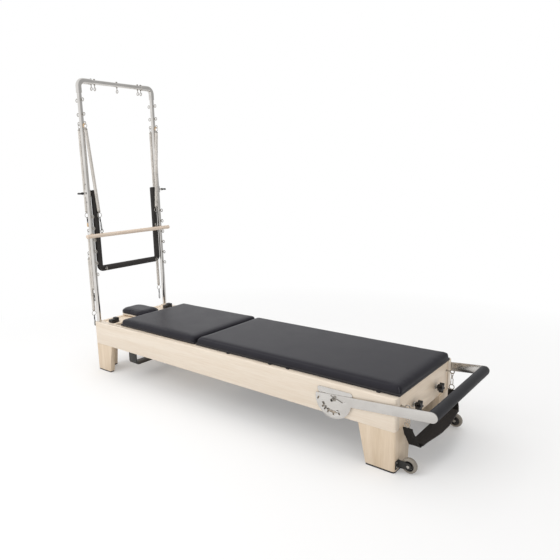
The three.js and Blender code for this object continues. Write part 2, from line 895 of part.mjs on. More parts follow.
function starKnob() {
  const lobes = [];
  const points = knobLobes * 5;
  for (let i = 0; i < points; i += 1) {
    const angle = i / points * Math.PI * 2;
    const reach = knobRadius * (1 - knobLobeShare + knobLobeShare * Math.cos(knobLobes * angle));
    lobes.push(new THREE.Vector2(Math.sin(angle), Math.cos(angle)).multiplyScalar(reach));
  }
  return join(
    prism(new THREE.Shape(lobes.reverse()), 'yz', knobStand, knobStand + knobThickness),
    rod('x', knobHubRadius, knobStand - knobHubLength, knobStand + knobThickness / 2, 0, 0, smallFaces),
    rod('x', washerRadius, clearance, clearance + washerThickness, 0, 0, smallFaces),
    rod('x', studRadius, -endBoardThickness - studInside, knobStand, 0, 0),
  );
}

piece('spring_bar', springBar(), 'steel');
for (const [sideName, side] of sides) {
  piece(`star_knob_${sideName}`, starKnob(), 'nylon').position.set(footBoardFace, side * knobSpread, knobHeight);
}

// A flat oval link between two heights, its plane square to the given axis.
function ovalLink(plane, middle, from, to, width, wire, thickness) {
  const outer = slot([middle, from + width / 2], [middle, to - width / 2], width / 2);
  outer.holes.push(new THREE.Path(
    slot([middle, from + width / 2], [middle, to - width / 2], width / 2 - wire).getPoints(slotSegments)));
  return [outer, plane, -thickness / 2, thickness / 2, slotSegments];
}

// Foot strap on two eyebolts

function strapAnchor(side) {
  const eyeX = footBoardFace + strapEyeStand;
  const y = side * strapEyeSpread;
  const eye = ring('y', eyeRing, eyeWire, eyeX, y, strapEyeHeight);
  const shank = rod('x', eyeShank, footBoardFace - endBoardThickness / 2 + clearance, eyeX - eyeHole - eyeWire / 2,
    y, strapEyeHeight, shankFaces);
  const hookTop = strapEyeHeight - eyeHole + linkWire / 2;
  const hook = prism(...ovalLink('yz', y, hookTop - strapHookLength, hookTop, strapHookWidth, linkWire, hookThickness))
    .translate([eyeX, 0, 0]);
  return join(eye, shank, hook, ring('y', strapRing, eyeWire, eyeX, y, strapRingHeight));
}

function footStrap() {
  const half = strapThickness / 2;
  const top = strapEyeSpread;
  const foot = strapFootSpread;
  const floor = strapBottom + strapThickness;
  const innerBend = strapBend - strapThickness;
  const band = rounded(
    [
      [-top - half, strapTop], [-foot - half, strapBottom], [foot + half, strapBottom], [top + half, strapTop],
      [top - half, strapTop], [foot - half, floor], [-foot + half, floor], [-top + half, strapTop],
    ],
    [0, strapBend, strapBend, 0, 0, innerBend, innerBend, 0],
  );
  const from = halfLength + strapStand;
  const padded = foot * strapPadShare;
  const middle = rounded([
    [from, -padded], [from + strapPadWidth, -padded + strapBend], [from + strapPadWidth, padded - strapBend],
    [from, padded],
  ]);
  return join(
    prism(band, 'yz', from, from + strapWidth),
    prism(middle, 'xy', strapBottom, strapBottom + strapThickness),
  );
}

for (const [sideName, side] of sides) piece(`strap_anchor_${sideName}`, strapAnchor(side), 'steel');
piece('foot_strap', footStrap(), 'webbing');

// Footbar on its two quadrants

const polar = (radius, angle) => [radius * Math.cos(angle), radius * Math.sin(angle)];

function notchedChannel(low, high) {
  const sector = new THREE.Shape();
  sector.absarc(0, 0, channelOuter, channelStart, channelEnd, false);
  sector.absarc(0, 0, channelInner, channelEnd, channelStart, true);
  const middle = (channelInner + channelOuter) / 2;
  const notches = notchAngles.map((angle) => prism(
    slot(polar(middle, angle), polar(notchReach, angle), notchRadius), 'xz', low, high, slotSegments));
  return join(prism(sector, 'xz', low, high, channelSegments), ...notches);
}

// Arm in its own frame: pivot at the origin, running along x.
function footbarArm(side) {
  const half = armDepth / 2;
  const meet = Math.asin(half / quadrantRadius);
  const outline = new THREE.Shape();
  outline.absarc(0, 0, quadrantRadius, Math.PI - meet, Math.PI * 2 - meet, false);
  outline.absarc(armLength, 0, half, -Math.PI / 2, Math.PI / 2, false);
  const low = Math.min(side * armInner, side * armOuter);
  const high = Math.max(side * armInner, side * armOuter);
  const through = [low - overrun, high + overrun];
  const [parkStart, parkBend, parkEnd] = parkSlotPoints;
  return cut(
    prism(outline, 'xz', low, high, plateSegments),
    rod('y', pivotBoltRadius + slideFit, ...through, 0, 0),
    notchedChannel(...through),
    prism(slot(parkStart, parkBend, parkSlotRadius), 'xz', ...through, slotSegments),
    prism(slot(parkBend, parkEnd, parkSlotRadius), 'xz', ...through, slotSegments),
    prism(slot(...tailSlotPoints, tailSlotRadius), 'xz', ...through, slotSegments),
  );
}

function gearPlate(side) {
  const inner = side * (halfWidth + clearance);
  const plate = prism(
    rounded(
      [
        [pivotX - gearPlateLeft, pivotZ - gearPlateBottom], [pivotX + gearPlateRight, pivotZ - gearPlateBottom],
        [pivotX + gearPlateRight, pivotZ + gearPlateTop], [pivotX - gearPlateLeft, pivotZ + gearPlateTop],
      ],
      [gearPlateCorner, gearPlateCorner, gearPlateCorner, gearPlateCorner],
    ),
    'xz', inner, side * gearPlateFace,
  );
  const headFrom = armOuter + slideFit;
  const bolt = rod('y', pivotBoltRadius, inner, side * (headFrom + pivotHeadThickness / 2), pivotX, pivotZ);
  const head = rod('y', pivotHeadRadius, side * headFrom, side * (headFrom + pivotHeadThickness), pivotX, pivotZ);
  const [pinX, pinZ] = polar((channelInner + channelOuter) / 2, gearPinAngle);
  const pin = rod('y', gearPinRadius, inner, side * (armOuter + slideFit), pivotX + pinX, pivotZ + pinZ, smallFaces);
  return join(plate, bolt, head, pin);
}

const footbar = new THREE.Group();
footbar.position.set(pivotX, 0, pivotZ);
footbar.rotation.y = -armTilt;
model.add(footbar);

function footbarTube() {
  const reach = armInner - clearance;
  return cut(
    rod('y', footbarTubeRadius, -reach, reach, armLength, 0),
    rod('y', footbarTubeRadius - footbarTubeWall, -reach - overrun, reach + overrun, armLength, 0),
  );
}

function footbarFoam() {
  const reach = armInner - foamEndGap;
  const bore = footbarTubeRadius + slideFit;
  const profile = [
    [bore, -reach], [footbarFoamRadius - foamEdge, -reach], [footbarFoamRadius, -reach + foamEdge],
    [footbarFoamRadius, reach - foamEdge], [footbarFoamRadius - foamEdge, reach], [bore, reach], [bore, -reach],
  ].map(([radius, y]) => new THREE.Vector2(radius, y));
  return solid(new THREE.LatheGeometry(profile, roundFaces)).translate([armLength, 0, 0]);
}

for (const [sideName, side] of sides) {
  piece(`gear_plate_${sideName}`, gearPlate(side), 'steel');
  piece(`footbar_arm_${sideName}`, footbarArm(side), 'steel', footbar);
}
piece('footbar_tube', footbarTube(), 'steel', footbar);
piece('footbar_foam', footbarFoam(), 'foam', footbar);

// Transport wheels

function transportWheel() {
  const half = wheelWidth / 2;
  const rim = wheelRadius - wheelRimDepth;
  const bore = axleRadius + slideFit;
  const profile = [
    [bore, -wheelHubWidth / 2], [wheelHubRadius, -wheelHubWidth / 2], [wheelHubRadius, -wheelWeb / 2],
    [rim, -wheelWeb / 2], [rim, -half], [wheelRadius - wheelEdge, -half], [wheelRadius, -half + wheelEdge],
    [wheelRadius, half - wheelEdge], [wheelRadius - wheelEdge, half], [rim, half], [rim, wheelWeb / 2],
    [wheelHubRadius, wheelWeb / 2], [wheelHubRadius, wheelHubWidth / 2], [bore, wheelHubWidth / 2],
    [bore, -wheelHubWidth / 2],
  ].map(([radius, y]) => new THREE.Vector2(radius, y));
  return solid(new THREE.LatheGeometry(profile, wheelFaces));
}

function wheelBracket(side) {
  const webInner = wheelSpread + wheelHubWidth / 2 + slideFit;
  const webOuter = webInner + bracketThickness;
  const flangeFrom = halfLength + clearance;
  const low = wheelHeight - bracketHeight / 2;
  const high = wheelHeight + bracketHeight / 2;
  const axleX = halfLength + wheelStand;
  const web = new THREE.Shape();
  web.moveTo(flangeFrom, high);
  web.lineTo(flangeFrom, low);
  web.absarc(axleX, wheelHeight, bracketHeight * 0.4, -Math.PI / 2, Math.PI / 2, false);
  const flange = box(
    flangeFrom, flangeFrom + bracketThickness,
    Math.min(side * webInner, side * (webInner + bracketFlange)),
    Math.max(side * webInner, side * (webInner + bracketFlange)), low, high,
  );
  const innerEnd = wheelSpread - wheelHubWidth / 2 - slideFit;
  return join(
    prism(web, 'xz', side * webInner, side * webOuter, smallFaces),
    flange,
    rod('y', axleRadius, side * (innerEnd - axleNut / 2), side * (webOuter + axleNut / 2), axleX, wheelHeight),
    rod('y', axleNutRadius, side * webOuter, side * (webOuter + axleNut), axleX, wheelHeight, nutFaces),
    rod('y', axleNutRadius, side * (innerEnd - axleNut), side * innerEnd, axleX, wheelHeight, nutFaces),
  );
}

for (const [sideName, side] of sides) {
  piece(`wheel_bracket_${sideName}`, wheelBracket(side), 'blackSteel');
  piece(`transport_wheel_${sideName}`, transportWheel(), 'urethane')
    .position.set(halfLength + wheelStand, side * wheelSpread, wheelHeight);
}

// Tower

// Eyebolt on the head side (-1) or foot side (1) of an upright at (x, y).
function postEye(x, y, z, facing, stand = eyeStand) {
  const eyeX = x + facing * stand;
  const shankEnd = eyeX - facing * (eyeHole + eyeWire / 2);
  return join(
    ring('y', eyeRing, eyeWire, eyeX, y, z),
    rod('x', eyeShank, x + facing * (postRadius - postWall), shankEnd, y, z, shankFaces),
  );
}

function towerPost(sideName, side) {
  const y = side * postY;
  const foot = railTop - postSink + clearance;
  const top = towerTop - elbowBend - clearance;
  const tube = sweep(
    [new THREE.Vector3(postX, y, foot), new THREE.Vector3(postX, y, top)], postRadius, tubeFaces,
    postRadius - postWall,
  );
  const eyes = upperEyes.flatMap((z) => [postEye(postX, y, z, 1), postEye(postX, y, z, -1)]);
  for (let row = 0; row < lowerEyes; row += 1) eyes.push(postEye(postX, y, lowerEyeHeight(row), 1));
  eyes.push(postEye(postX, y, lowerEyeHeight(headEyeRow) - headEyeDrop, -1));
  eyes.push(postEye(postX, y, legEyeHeight(sideName), -1, legEyeStand));
  const pinHoles = [-1, 0, 1].map((step) => rod(
    'y', pinHoleRadius, y, side * (postY + postRadius + overrun), postX, collarHeight + step * pinHoleStep, smallFaces));
  return cut(join(tube, ...eyes), ...pinHoles);
}

function towerTopBar() {
  const corner = towerTop;
  const run = (leg, reach, side) => bentRun(
    postX, [[side * postY, corner - leg], [side * postY, corner], [side * (postY - reach), corner]], elbowBend);
  const sleeves = sides.map(([, side]) => cut(
    sweep(run(elbowLeg, elbowReach, side), elbowRadius, tubeFaces),
    rod('z', postRadius + clearance, corner - elbowLeg - overrun, corner - elbowBend, postX, side * postY,
      tubeFaces),
  ));
  const eyes = topEyeSpreads.flatMap((y) => [
    ring('y', eyeRing, eyeWire, postX, y, corner - topEyeDrop),
    rod('z', eyeShank, corner - topEyeDrop + eyeHole + eyeWire / 2, corner, postX, y, shankFaces),
    rod('z', nutRadius, corner, corner + postRadius + nutHeight, postX, y, nutFaces),
  ]);
  const across = rod('y', postRadius, -postY + elbowBend, postY - elbowBend, postX, corner);
  return join(across, ...sleeves, ...eyes);
}

for (const [sideName, side] of sides) piece(`tower_post_${sideName}`, towerPost(sideName, side), 'steel');
piece('tower_top_bar', towerTopBar(), 'steel');

// Push-through bar on its two sliding collars

function collar(side) {
  const y = side * postY;
  const low = collarHeight - collarLength / 2;
  const high = collarHeight + collarLength / 2;
  const bossEnd = side * (postY + collarRadius + pinBossLength);
  const pivotEnd = side * (barSpread - barPivotRadius);
  const sleeve = join(
    rod('z', collarRadius, low, high, postX, y, tubeFaces),
    rod('y', pinBossRadius, y, bossEnd, postX, collarHeight, smallFaces),
    rod('y', barPivotRadius, y, pivotEnd, postX, collarHeight),
  );
  return cut(
    sleeve,
    rod('z', postRadius + slideFit, low - overrun, high + overrun, postX, y, tubeFaces),
    rod('y', pinRadius + slideFit, y, bossEnd + side * overrun, postX, collarHeight, smallFaces),
  );
}

function pullPin(side) {
  const tip = side * (postY + postRadius + pinStandOff);
  const bossEnd = postY + collarRadius + pinBossLength;
  const handle = side * (bossEnd + pinNeck);
  return join(
    rod('y', pinRadius, tip, handle, postX, collarHeight, smallFaces),
    rod('y', pinBossRadius, side * (bossEnd + clearance), side * (bossEnd + pinNeck / 2), postX, collarHeight, smallFaces),
    rod('x', pinHandleRadius, postX - pinHandleLength / 2, postX + pinHandleLength / 2, handle, collarHeight, smallFaces),
  );
}

const barFaces = 10;
const barRun = (top) => bentRun(
  postX, [[-barSpread, top], [-barSpread, barBottom], [barSpread, barBottom], [barSpread, top]], barBend, slotSegments);

function pushBarTube() {
  const tube = sweep(barRun(collarHeight + barEnd), barTubeRadius, barFaces, barTubeRadius - barTubeWall);
  const pivotHoles = sides.map(([, side]) => rod(
    'y', barPivotRadius + slideFit, side * (barSpread - barFoamRadius), side * (barSpread + barFoamRadius),
    postX, collarHeight));
  const eyes = sides.flatMap(([, side]) => [
    ring('y', eyeRing, eyeWire, postX + barEyeStand, side * barEyeSpread, barBottom),
    rod('x', eyeShank, postX + barTubeRadius - barTubeWall, postX + barEyeStand - eyeHole - eyeWire / 2,
      side * barEyeSpread, barBottom, shankFaces),
  ]);
  return join(cut(tube, ...pivotHoles), ...eyes);
}

function pushBarFoam() {
  const sleeve = sweep(barRun(collarHeight + barEnd - clearance), barFoamRadius, barFaces, barTubeRadius + slideFit);
  const holes = sides.flatMap(([, side]) => [
    rod('y', barPivotRadius + slideFit * 4, side * barSpread, side * (barSpread + barFoamRadius + overrun),
      postX, collarHeight, smallFaces),
    rod('x', eyeShank + slideFit, postX, postX + barFoamRadius + overrun, side * barEyeSpread, barBottom, shankFaces),
  ]);
  return cut(sleeve, ...holes);
}

for (const [sideName, side] of sides) {
  piece(`collar_${sideName}`, collar(side), 'blackSteel');
  piece(`pull_pin_${sideName}`, pullPin(side), 'nylon');
}
piece('push_bar_tube', pushBarTube(), 'steel');
piece('push_bar_foam', pushBarFoam(), 'foam');

// Roll-down bar

const dowelX = postX + eyeStand;

function rollDownBar() {
  const half = dowelHalfLength;
  const profile = [
    [0, -half], [dowelRadius - dowelRound, -half], [dowelRadius, -half + dowelRound],
    [dowelRadius, half - dowelRound], [dowelRadius - dowelRound, half], [0, half],
  ].map(([radius, y]) => new THREE.Vector2(radius, y));
  const wood = solid(new THREE.LatheGeometry(profile, roundFaces)).translate([dowelX, 0, dowelHeight]);
  const eyes = sides.flatMap(([, side]) => [
    ring('x', eyeRing, eyeWire, dowelX, side * dowelEyeSpread, dowelEyeHeight),
    rod('z', eyeShank, dowelHeight, dowelEyeHeight - eyeHole - eyeWire / 2, dowelX, side * dowelEyeSpread, shankFaces),
  ]);
  return join(wood, ...eyes);
}

piece('roll_down_bar', rollDownBar(), 'maple');

// Tower springs

// Points of one spring from its upper to its lower end, along -z: straight ends one wire
// diameter long, and curls of even pitch between them.
function coilPoints(length) {
  const lead = coilWire * 2;
  const points = [new THREE.Vector3(0, 0, 0), new THREE.Vector3(0, 0, -lead)];
  const steps = coilCurls * coilSteps;
  const wound = length - lead * 4;
  for (let i = 0; i <= steps; i += 1) {
    const angle = i / coilSteps * Math.PI * 2;
    points.push(new THREE.Vector3(
      coilRadius * Math.cos(angle), coilRadius * Math.sin(angle), -lead * 2 - wound * i / steps));
  }
  points.push(new THREE.Vector3(0, 0, -length + lead), new THREE.Vector3(0, 0, -length));
  return points;
}

// Least free distance between stretches of the tube that are not neighbours.
function leastGap(points, radius) {
  let least = Infinity;
  points.forEach((a, i) => {
    for (let j = i + coilSteps / 2; j < points.length; j += 1) {
      least = Math.min(least, a.distanceTo(points[j]) - radius * 2);
    }
  });
  return least;
}

function plug(top, length, upward) {
  const [wide, tip] = upward ? [top - length, top] : [top, top - length];
  const rows = [[0, wide], [plugRadius, wide], [plugTip, tip], [0, tip]];
  const ordered = upward ? rows : rows.reverse();
  const profile = ordered.map(([radius, z]) => new THREE.Vector2(radius, z));
  return solid(new THREE.LatheGeometry(profile, nutFaces).rotateX(Math.PI / 2));
}

// A spring hanging from an eye at the origin: oval link, end plug, coil, end plug, ring, hook.
function towerSpring(coilLength, hookLength) {
  const linkTop = -eyeHole + linkSeatGap + linkWire;
  const linkEnd = linkTop - linkLength;
  const coilTop = linkEnd - plugLength + plugTip;
  const coilEnd = coilTop - coilLength;
  const ringZ = coilEnd - plugLength + plugTip - springRing;
  const hookTop = ringZ - springRing + springRingWire - hookBite + linkWire;
  const coil = coilPoints(coilLength + plugTip * 2);
  return join(
    prism(...ovalLink('yz', 0, linkEnd, linkTop, linkWidth, linkWire, linkWire)),
    plug(linkEnd + plugTip, plugLength, true),
    sweep(coil, coilWire, coilFaces).translate([0, 0, coilTop + plugTip]),
    plug(coilEnd, plugLength, false),
    ring('x', springRing, springRingWire, 0, 0, ringZ, springRingSteps),
    prism(...ovalLink('xz', 0, hookTop - hookLength, hookTop, hookWidth, linkWire, hookThickness)),
  );
}

// Length of a spring assembly from its eye to the outer end of its hook, without coil and hook.
const fittingsLength = (eyeHole - linkSeatGap - linkWire) + linkLength + (plugLength - plugTip) * 2
  + springRing * 2 - springRingWire + hookBite - linkWire;

for (const [sideName, side] of sides) {
  const eyeY = side * postY;
  const eyeZ = upperEyes[2];

  const drop = eyeZ - dowelEyeHeight;
  const inward = postY - dowelEyeSpread;
  const seat = Math.hypot(drop, inward) - eyeHole + linkSeatGap + linkWire;
  const rollDown = piece(
    `roll_down_spring_${sideName}`, towerSpring(seat - fittingsLength - rollDownHook, rollDownHook), 'steel');
  rollDown.position.set(dowelX, eyeY, eyeZ);
  rollDown.rotation.x = -side * Math.atan2(inward, drop);

  piece(`arm_spring_${sideName}`, towerSpring(armSpringCoil, armSpringHook), 'steel')
    .position.set(postX - eyeStand, eyeY, eyeZ);
  piece(`leg_spring_${sideName}`, towerSpring(legSpringCoil, legSpringHook), 'steel')
    .position.set(postX - legEyeStand, eyeY, legEyeHeight(sideName));
}

for (const coilLength of [armSpringCoil, legSpringCoil]) {
  console.log(`least gap of a spring of ${coilLength} mm: ${leastGap(coilPoints(coilLength), coilWire).toFixed(2)} mm`);
}

// The origin is on the floor, at the middle of the whole length and width.
const headReach = postX - legEyeStand - eyeRing - eyeWire;
const footReach = pivotX + armLength * Math.cos(armTilt) + footbarFoamRadius;
model.position.x = -(headReach + footReach) / 2;

export default model;
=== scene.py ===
"""Pilates tower unit: a maple reformer frame with upholstered pads, a footbar on notched arms,
a foot strap, and a steel tower with a push bar, a roll-down bar and six springs.

Pieces are modelled in millimetres, with x = 0 at the middle of the rails, and are put in the
row frame, in metres, when they are finished.
"""
import math

import bmesh
import bpy
from mathutils import Matrix, Vector
from mathutils.bvhtree import BVHTree


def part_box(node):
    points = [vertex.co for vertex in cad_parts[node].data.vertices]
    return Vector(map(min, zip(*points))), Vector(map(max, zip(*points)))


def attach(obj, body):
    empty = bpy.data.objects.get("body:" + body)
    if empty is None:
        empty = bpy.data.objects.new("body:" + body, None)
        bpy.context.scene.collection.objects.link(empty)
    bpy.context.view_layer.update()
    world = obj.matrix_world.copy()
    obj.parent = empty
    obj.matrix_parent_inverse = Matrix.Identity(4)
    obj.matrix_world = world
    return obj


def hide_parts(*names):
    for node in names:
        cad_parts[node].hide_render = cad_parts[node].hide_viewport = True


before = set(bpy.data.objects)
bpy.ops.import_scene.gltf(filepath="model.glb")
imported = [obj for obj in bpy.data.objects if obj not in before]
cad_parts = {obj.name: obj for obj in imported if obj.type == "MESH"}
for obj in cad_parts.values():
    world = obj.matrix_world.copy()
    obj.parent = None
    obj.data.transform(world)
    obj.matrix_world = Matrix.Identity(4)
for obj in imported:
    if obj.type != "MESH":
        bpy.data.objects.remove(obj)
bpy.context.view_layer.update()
scene = bpy.context.scene

MM = 0.001
rail_low, rail_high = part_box("side_rail_near")
TO_ROW = Matrix.Translation(((rail_low.x + rail_high.x) / 2, 0, 0)) @ Matrix.Scale(MM, 4)
TO_MM = TO_ROW.inverted()
SIDES = (("near", -1), ("far", 1))


def box_mm(node):
    """Lowest and highest corners of a CAD node, in millimetres from the middle of the rails."""
    return [TO_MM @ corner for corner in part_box(node)]


def linked(name, data):
    """A new object in the scene."""
    made = bpy.data.objects.new(name, data)
    scene.collection.objects.link(made)
    return made


# Camera at the photograph's place
YAW, PITCH, ROLL = 2.3075, 0.1929, -0.039
PICTURE = 560
FOCAL = 531.3648
PICTURE_OFFSET = (-47.7642, 0.8131)
CAMERA_PLACE = Vector((2.0837, -2.4854, 1.3815))

ahead = Vector((math.cos(YAW) * math.cos(PITCH), math.sin(YAW) * math.cos(PITCH), -math.sin(PITCH)))
level = Vector((math.sin(YAW), -math.cos(YAW), 0))
above = level.cross(ahead)
right = math.cos(ROLL) * level + math.sin(ROLL) * above
upward = -math.sin(ROLL) * level + math.cos(ROLL) * above
optics = bpy.data.cameras.new("camera")
optics.sensor_width = 36
optics.lens = FOCAL / PICTURE * optics.sensor_width
optics.shift_x = -PICTURE_OFFSET[0] / PICTURE
optics.shift_y = PICTURE_OFFSET[1] / PICTURE
optics.clip_end = 200
camera = linked("camera", optics)
turned = Matrix((right, upward, -ahead)).transposed().to_4x4()
camera.matrix_world = Matrix.Translation(CAMERA_PLACE) @ turned
scene.camera = camera
scene.view_settings.view_transform = "Standard"


# Materials

def colour(code):
    """Linear colour of an sRGB hex value."""
    shares = [int(code[i:i + 2], 16) / 255 for i in (1, 3, 5)]
    return [s / 12.92 if s <= 0.04045 else ((s + 0.055) / 1.055) ** 2.4 for s in shares] + [1.0]


def add(tree, kind, inputs=None, output=0, **settings):
    """Adds a node with its settings, sets or links its inputs, and gives one of its outputs."""
    made = tree.nodes.new("ShaderNode" + kind)
    for name, value in settings.items():
        setattr(made, name, value)
    for name, value in (inputs or {}).items():
        if isinstance(value, bpy.types.NodeSocket):
            tree.links.new(value, made.inputs[name])
        else:
            made.inputs[name].default_value = value
    return made.outputs[output]


def surface(name, **inputs):
    """A new material: its node tree and its shader, whose sockets are set by name."""
    made = bpy.data.materials.new(name)
    made.use_nodes = True
    shader = made.node_tree.nodes["Principled BSDF"]
    for key, value in inputs.items():
        shader.inputs[key.replace("_", " ")].default_value = value
    return made, made.node_tree, shader


def ramp(tree, factor, low, high, dark, light):
    """Colours from dark to light while the factor goes from low to high."""
    made = add(tree, "ValToRGB", {"Fac": factor})
    for element, place, code in zip(made.node.color_ramp.elements, (low, high), (dark, light)):
        element.position = place
        element.color = colour(code)
    return made


def spread(tree, factor, low, high):
    """A number from low to high while the factor goes from 0.3 to 0.7, as noise does."""
    return add(tree, "MapRange", {"Value": factor, "From Min": 0.3, "From Max": 0.7,
                                  "To Min": low, "To Max": high})


def skin(tree, shader, tone, roughness, height, strength, distance):
    """Links a surface's colour and roughness, and a bump of some height in metres."""
    tree.links.new(tone, shader.inputs["Base Color"])
    if roughness is not None:
        tree.links.new(roughness, shader.inputs["Roughness"])
    bump = add(tree, "Bump", {"Height": height, "Strength": strength, "Distance": distance})
    tree.links.new(bump, shader.inputs["Normal"])


def lacquered_maple(name, grain, dark="#ddcdb9", light="#e7dbcb"):
    """Hard maple, planed and satin lacquered: pale, with fine straight grain and faint bands."""
    made, tree, shader = surface(name, Coat_Weight=0.25, Coat_Roughness=0.2)
    place = add(tree, "TexCoord", output="Object")
    along = {"x": (0.05, 1, 1), "y": (1, 0.05, 1), "z": (1, 1, 0.05)}[grain]
    fibre = add(tree, "Mapping", {"Vector": place, "Scale": along})
    bands = add(tree, "TexNoise", {"Vector": fibre, "Scale": 24, "Detail": 3, "Distortion": 0.8})
    streaks = add(tree, "TexNoise", {"Vector": fibre, "Scale": 210, "Detail": 4, "Roughness": 0.6})
    both = add(tree, "Math", {0: bands, 1: streaks}, operation="ADD")
    half = add(tree, "Math", {0: both, 1: 0.5}, operation="MULTIPLY")
    skin(tree, shader, ramp(tree, half, 0.36, 0.62, dark, light),
         spread(tree, streaks, 0.38, 0.52), streaks, 0.25, 0.0004)
    return made


def grained(name, dark, light, cell, depth, roughness, detail=2, **inputs):
    """A surface with small cells, whose size and depth are in metres."""
    made, tree, shader = surface(name, **inputs)
    place = add(tree, "TexCoord", output="Object")
    fine = add(tree, "TexNoise", {"Vector": place, "Scale": 1 / cell, "Detail": detail})
    broad = add(tree, "TexNoise", {"Vector": place, "Scale": 9, "Detail": 3})
    skin(tree, shader, ramp(tree, broad, 0.35, 0.65, dark, light),
         spread(tree, broad, *roughness), fine, 0.6, depth)
    return made


def brushed(name, dark, light, roughness, stretch, depth=0.15, metallic=1.0):
    """Metal with fine lines from rolling or brushing, along the axis with the small stretch."""
    made, tree, shader = surface(name, Metallic=metallic)
    place = add(tree, "TexCoord", output="Object")
    lines = add(tree, "Mapping", {"Vector": place, "Scale": stretch})
    fine = add(tree, "TexNoise", {"Vector": lines, "Scale": 500, "Detail": 3})
    broad = add(tree, "TexNoise", {"Vector": place, "Scale": 12, "Detail": 2})
    skin(tree, shader, ramp(tree, broad, 0.3, 0.7, dark, light),
         spread(tree, fine, *roughness), fine, depth, 0.0002)
    return made


def ribbed(name, dark, light, thread):
    """Woven webbing or cover cloth: ribs across the run, read from the piece's own UV in metres."""
    made, tree, shader = surface(name, Roughness=0.85, Specular_IOR_Level=0.3, Sheen_Weight=0.06,
                                 Sheen_Roughness=0.5)
    place = add(tree, "UVMap", output="UV", uv_map="weave")
    across, down = (
        add(tree, "TexWave", {"Vector": place, "Scale": scale / thread, "Distortion": 0.4}, "Fac",
            bands_direction=way) for scale, way in ((0.314, "X"), (0.157, "Y")))
    woven = add(tree, "Math", {0: across, 1: down}, operation="MULTIPLY")
    skin(tree, shader, ramp(tree, woven, 0.1, 0.8, dark, light), None, woven, 0.7, 0.0005)
    return made


# Maple boards of the frame, with the grain along each board
maple_x = lacquered_maple("maple_grain_along_rail", "x")
# The boards across the frame take the same maple in a lighter tone: painted light that brightens
# the foot board's shaded end face.
maple_across_painted_light = lacquered_maple("maple_across_painted_lighter", "y", "#ead6be", "#f3e2cc")
# The legs take the same maple in a darker, warmer tone: painted shade on the legs' faces.
maple_upright_painted_shade = lacquered_maple("maple_upright_painted_darker", "z", "#cfba9f", "#dfcdb6")
# Turned dowel, lacquered: a little deeper and redder than the boards
dowel_maple = lacquered_maple("turned_dowel", "y", "#d6c1ad", "#e4d5c5")
# Upholstery vinyl: soft satin skin with a fine leather grain
vinyl = grained("upholstery_vinyl", "#26252b", "#29282e", 0.0022, 0.0004, (0.36, 0.4),
                Specular_IOR_Level=0.16)
# The same vinyl drawn tight over the boards
wrapped = grained("vinyl_wrapped_board", "#232226", "#29282c", 0.0022, 0.0003, (0.5, 0.6))
# Piping vinyl, lighter than the pad's: a painted highlight along the welts at the mat's foot
# corners
piping_painted_highlight = grained("vinyl_welt_painted_highlight", "#3c3b41", "#46454b", 0.0015, 0.0002, (0.34, 0.42))
# Closed-cell foam sleeve: matt, with small open pores from the cut skin
foam = grained("closed_cell_foam", "#252528", "#2d2d31", 0.0018, 0.0005, (0.55, 0.68),
               Specular_IOR_Level=0.4)
# The push bar's sleeve is the same foam, paler and browner from handling
worn_foam = grained("worn_foam_sleeve", "#2d2a29", "#363331", 0.0018, 0.0005, (0.6, 0.72),
                    Specular_IOR_Level=0.35)
# Moulded nylon: fine spark-eroded texture, dull highlights
nylon = grained("moulded_nylon", "#201e1d", "#2a2827", 0.0012, 0.0002, (0.42, 0.55))
rubber = grained("moulded_rubber", "#232326", "#2b2b2e", 0.002, 0.0003, (0.75, 0.9))
# Powder coat: satin black with orange peel
powder_coat = grained("black_powder_coat", "#1e1d1b", "#272624", 0.003, 0.0003, (0.38, 0.48), 1)
# Cast urethane, slightly clear
tyre = grained("cast_urethane", "#a39b8f", "#b4aca0", 0.004, 0.0001, (0.18, 0.28),
               Transmission_Weight=0.35, IOR=1.5)
tan_tab = grained("tan_nylon_tab", "#c8a67c", "#d8b88e", 0.0015, 0.0003, (0.6, 0.75))
# Bright chrome tube: nearly a mirror, with faint wiping marks
chrome = brushed("chromed_tube", "#d2cfcb", "#dfdcd8", (0.05, 0.11), (1, 1, 0.1))
# Bright zinc on small fittings: softer than chrome
zinc = brushed("bright_zinc", "#aeaaa3", "#c0bbb4", (0.18, 0.3), (1, 1, 1))
# Laser-cut stainless plate, polished: a soft mirror with faint lines along the arm
plate = brushed("polished_steel_plate", "#c8c5c1", "#d2cfcb", (0.14, 0.2), (0.03, 1, 1), 0.04)
# Spring wire, nickel plated after winding: a pale satin skin over the turns
spring_wire = brushed("nickel_spring_wire", "#d8d3cc", "#e6e1db", (0.34, 0.46), (1, 1, 1),
                      metallic=0.5)
aluminium = brushed("anodised_aluminium", "#a9acb0", "#bbbec2", (0.35, 0.5), (0.03, 1, 1))
webbing = ribbed("woven_webbing", "#161412", "#2b2724", 0.0024)
cover_cloth = ribbed("strap_cover_cloth", "#1f1b19", "#2f2a26", 0.0030)


# Shapes

def round_edges(bm, edges, offset, segments):
    """Rounds some edges to a radius."""
    bmesh.ops.bevel(bm, geom=edges, offset=offset, offset_type="OFFSET", segments=segments,
                    profile=0.5, affect="EDGES", material=-1, clamp_overlap=True)


def sharp_edges(bm, degrees):
    """The edges where two faces meet at more than an angle."""
    return [edge for edge in bm.edges if edge.calc_face_angle(0) > math.radians(degrees)]


def even_out(bm, factor):
    """Moves each vertex toward its neighbours' middle by a share."""
    bmesh.ops.smooth_vert(bm, verts=bm.verts, factor=factor, use_axis_x=True, use_axis_y=True,
                          use_axis_z=True)


def shift(bm, matrix):
    """Moves a whole shape."""
    bmesh.ops.transform(bm, matrix=matrix, verts=bm.verts)


def raise_faces(bm, height):
    """Makes flat faces into a solid of some height."""
    raised = bmesh.ops.extrude_face_region(bm, geom=list(bm.faces))["geom"]
    top = [item for item in raised if isinstance(item, bmesh.types.BMVert)]
    bmesh.ops.translate(bm, vec=(0, 0, height), verts=top)
    bmesh.ops.recalc_face_normals(bm, faces=bm.faces)


def as_mesh(bm, name):
    """A new mesh that takes over a shape."""
    mesh = bpy.data.meshes.new(name)
    bm.to_mesh(mesh)
    bm.free()
    return mesh


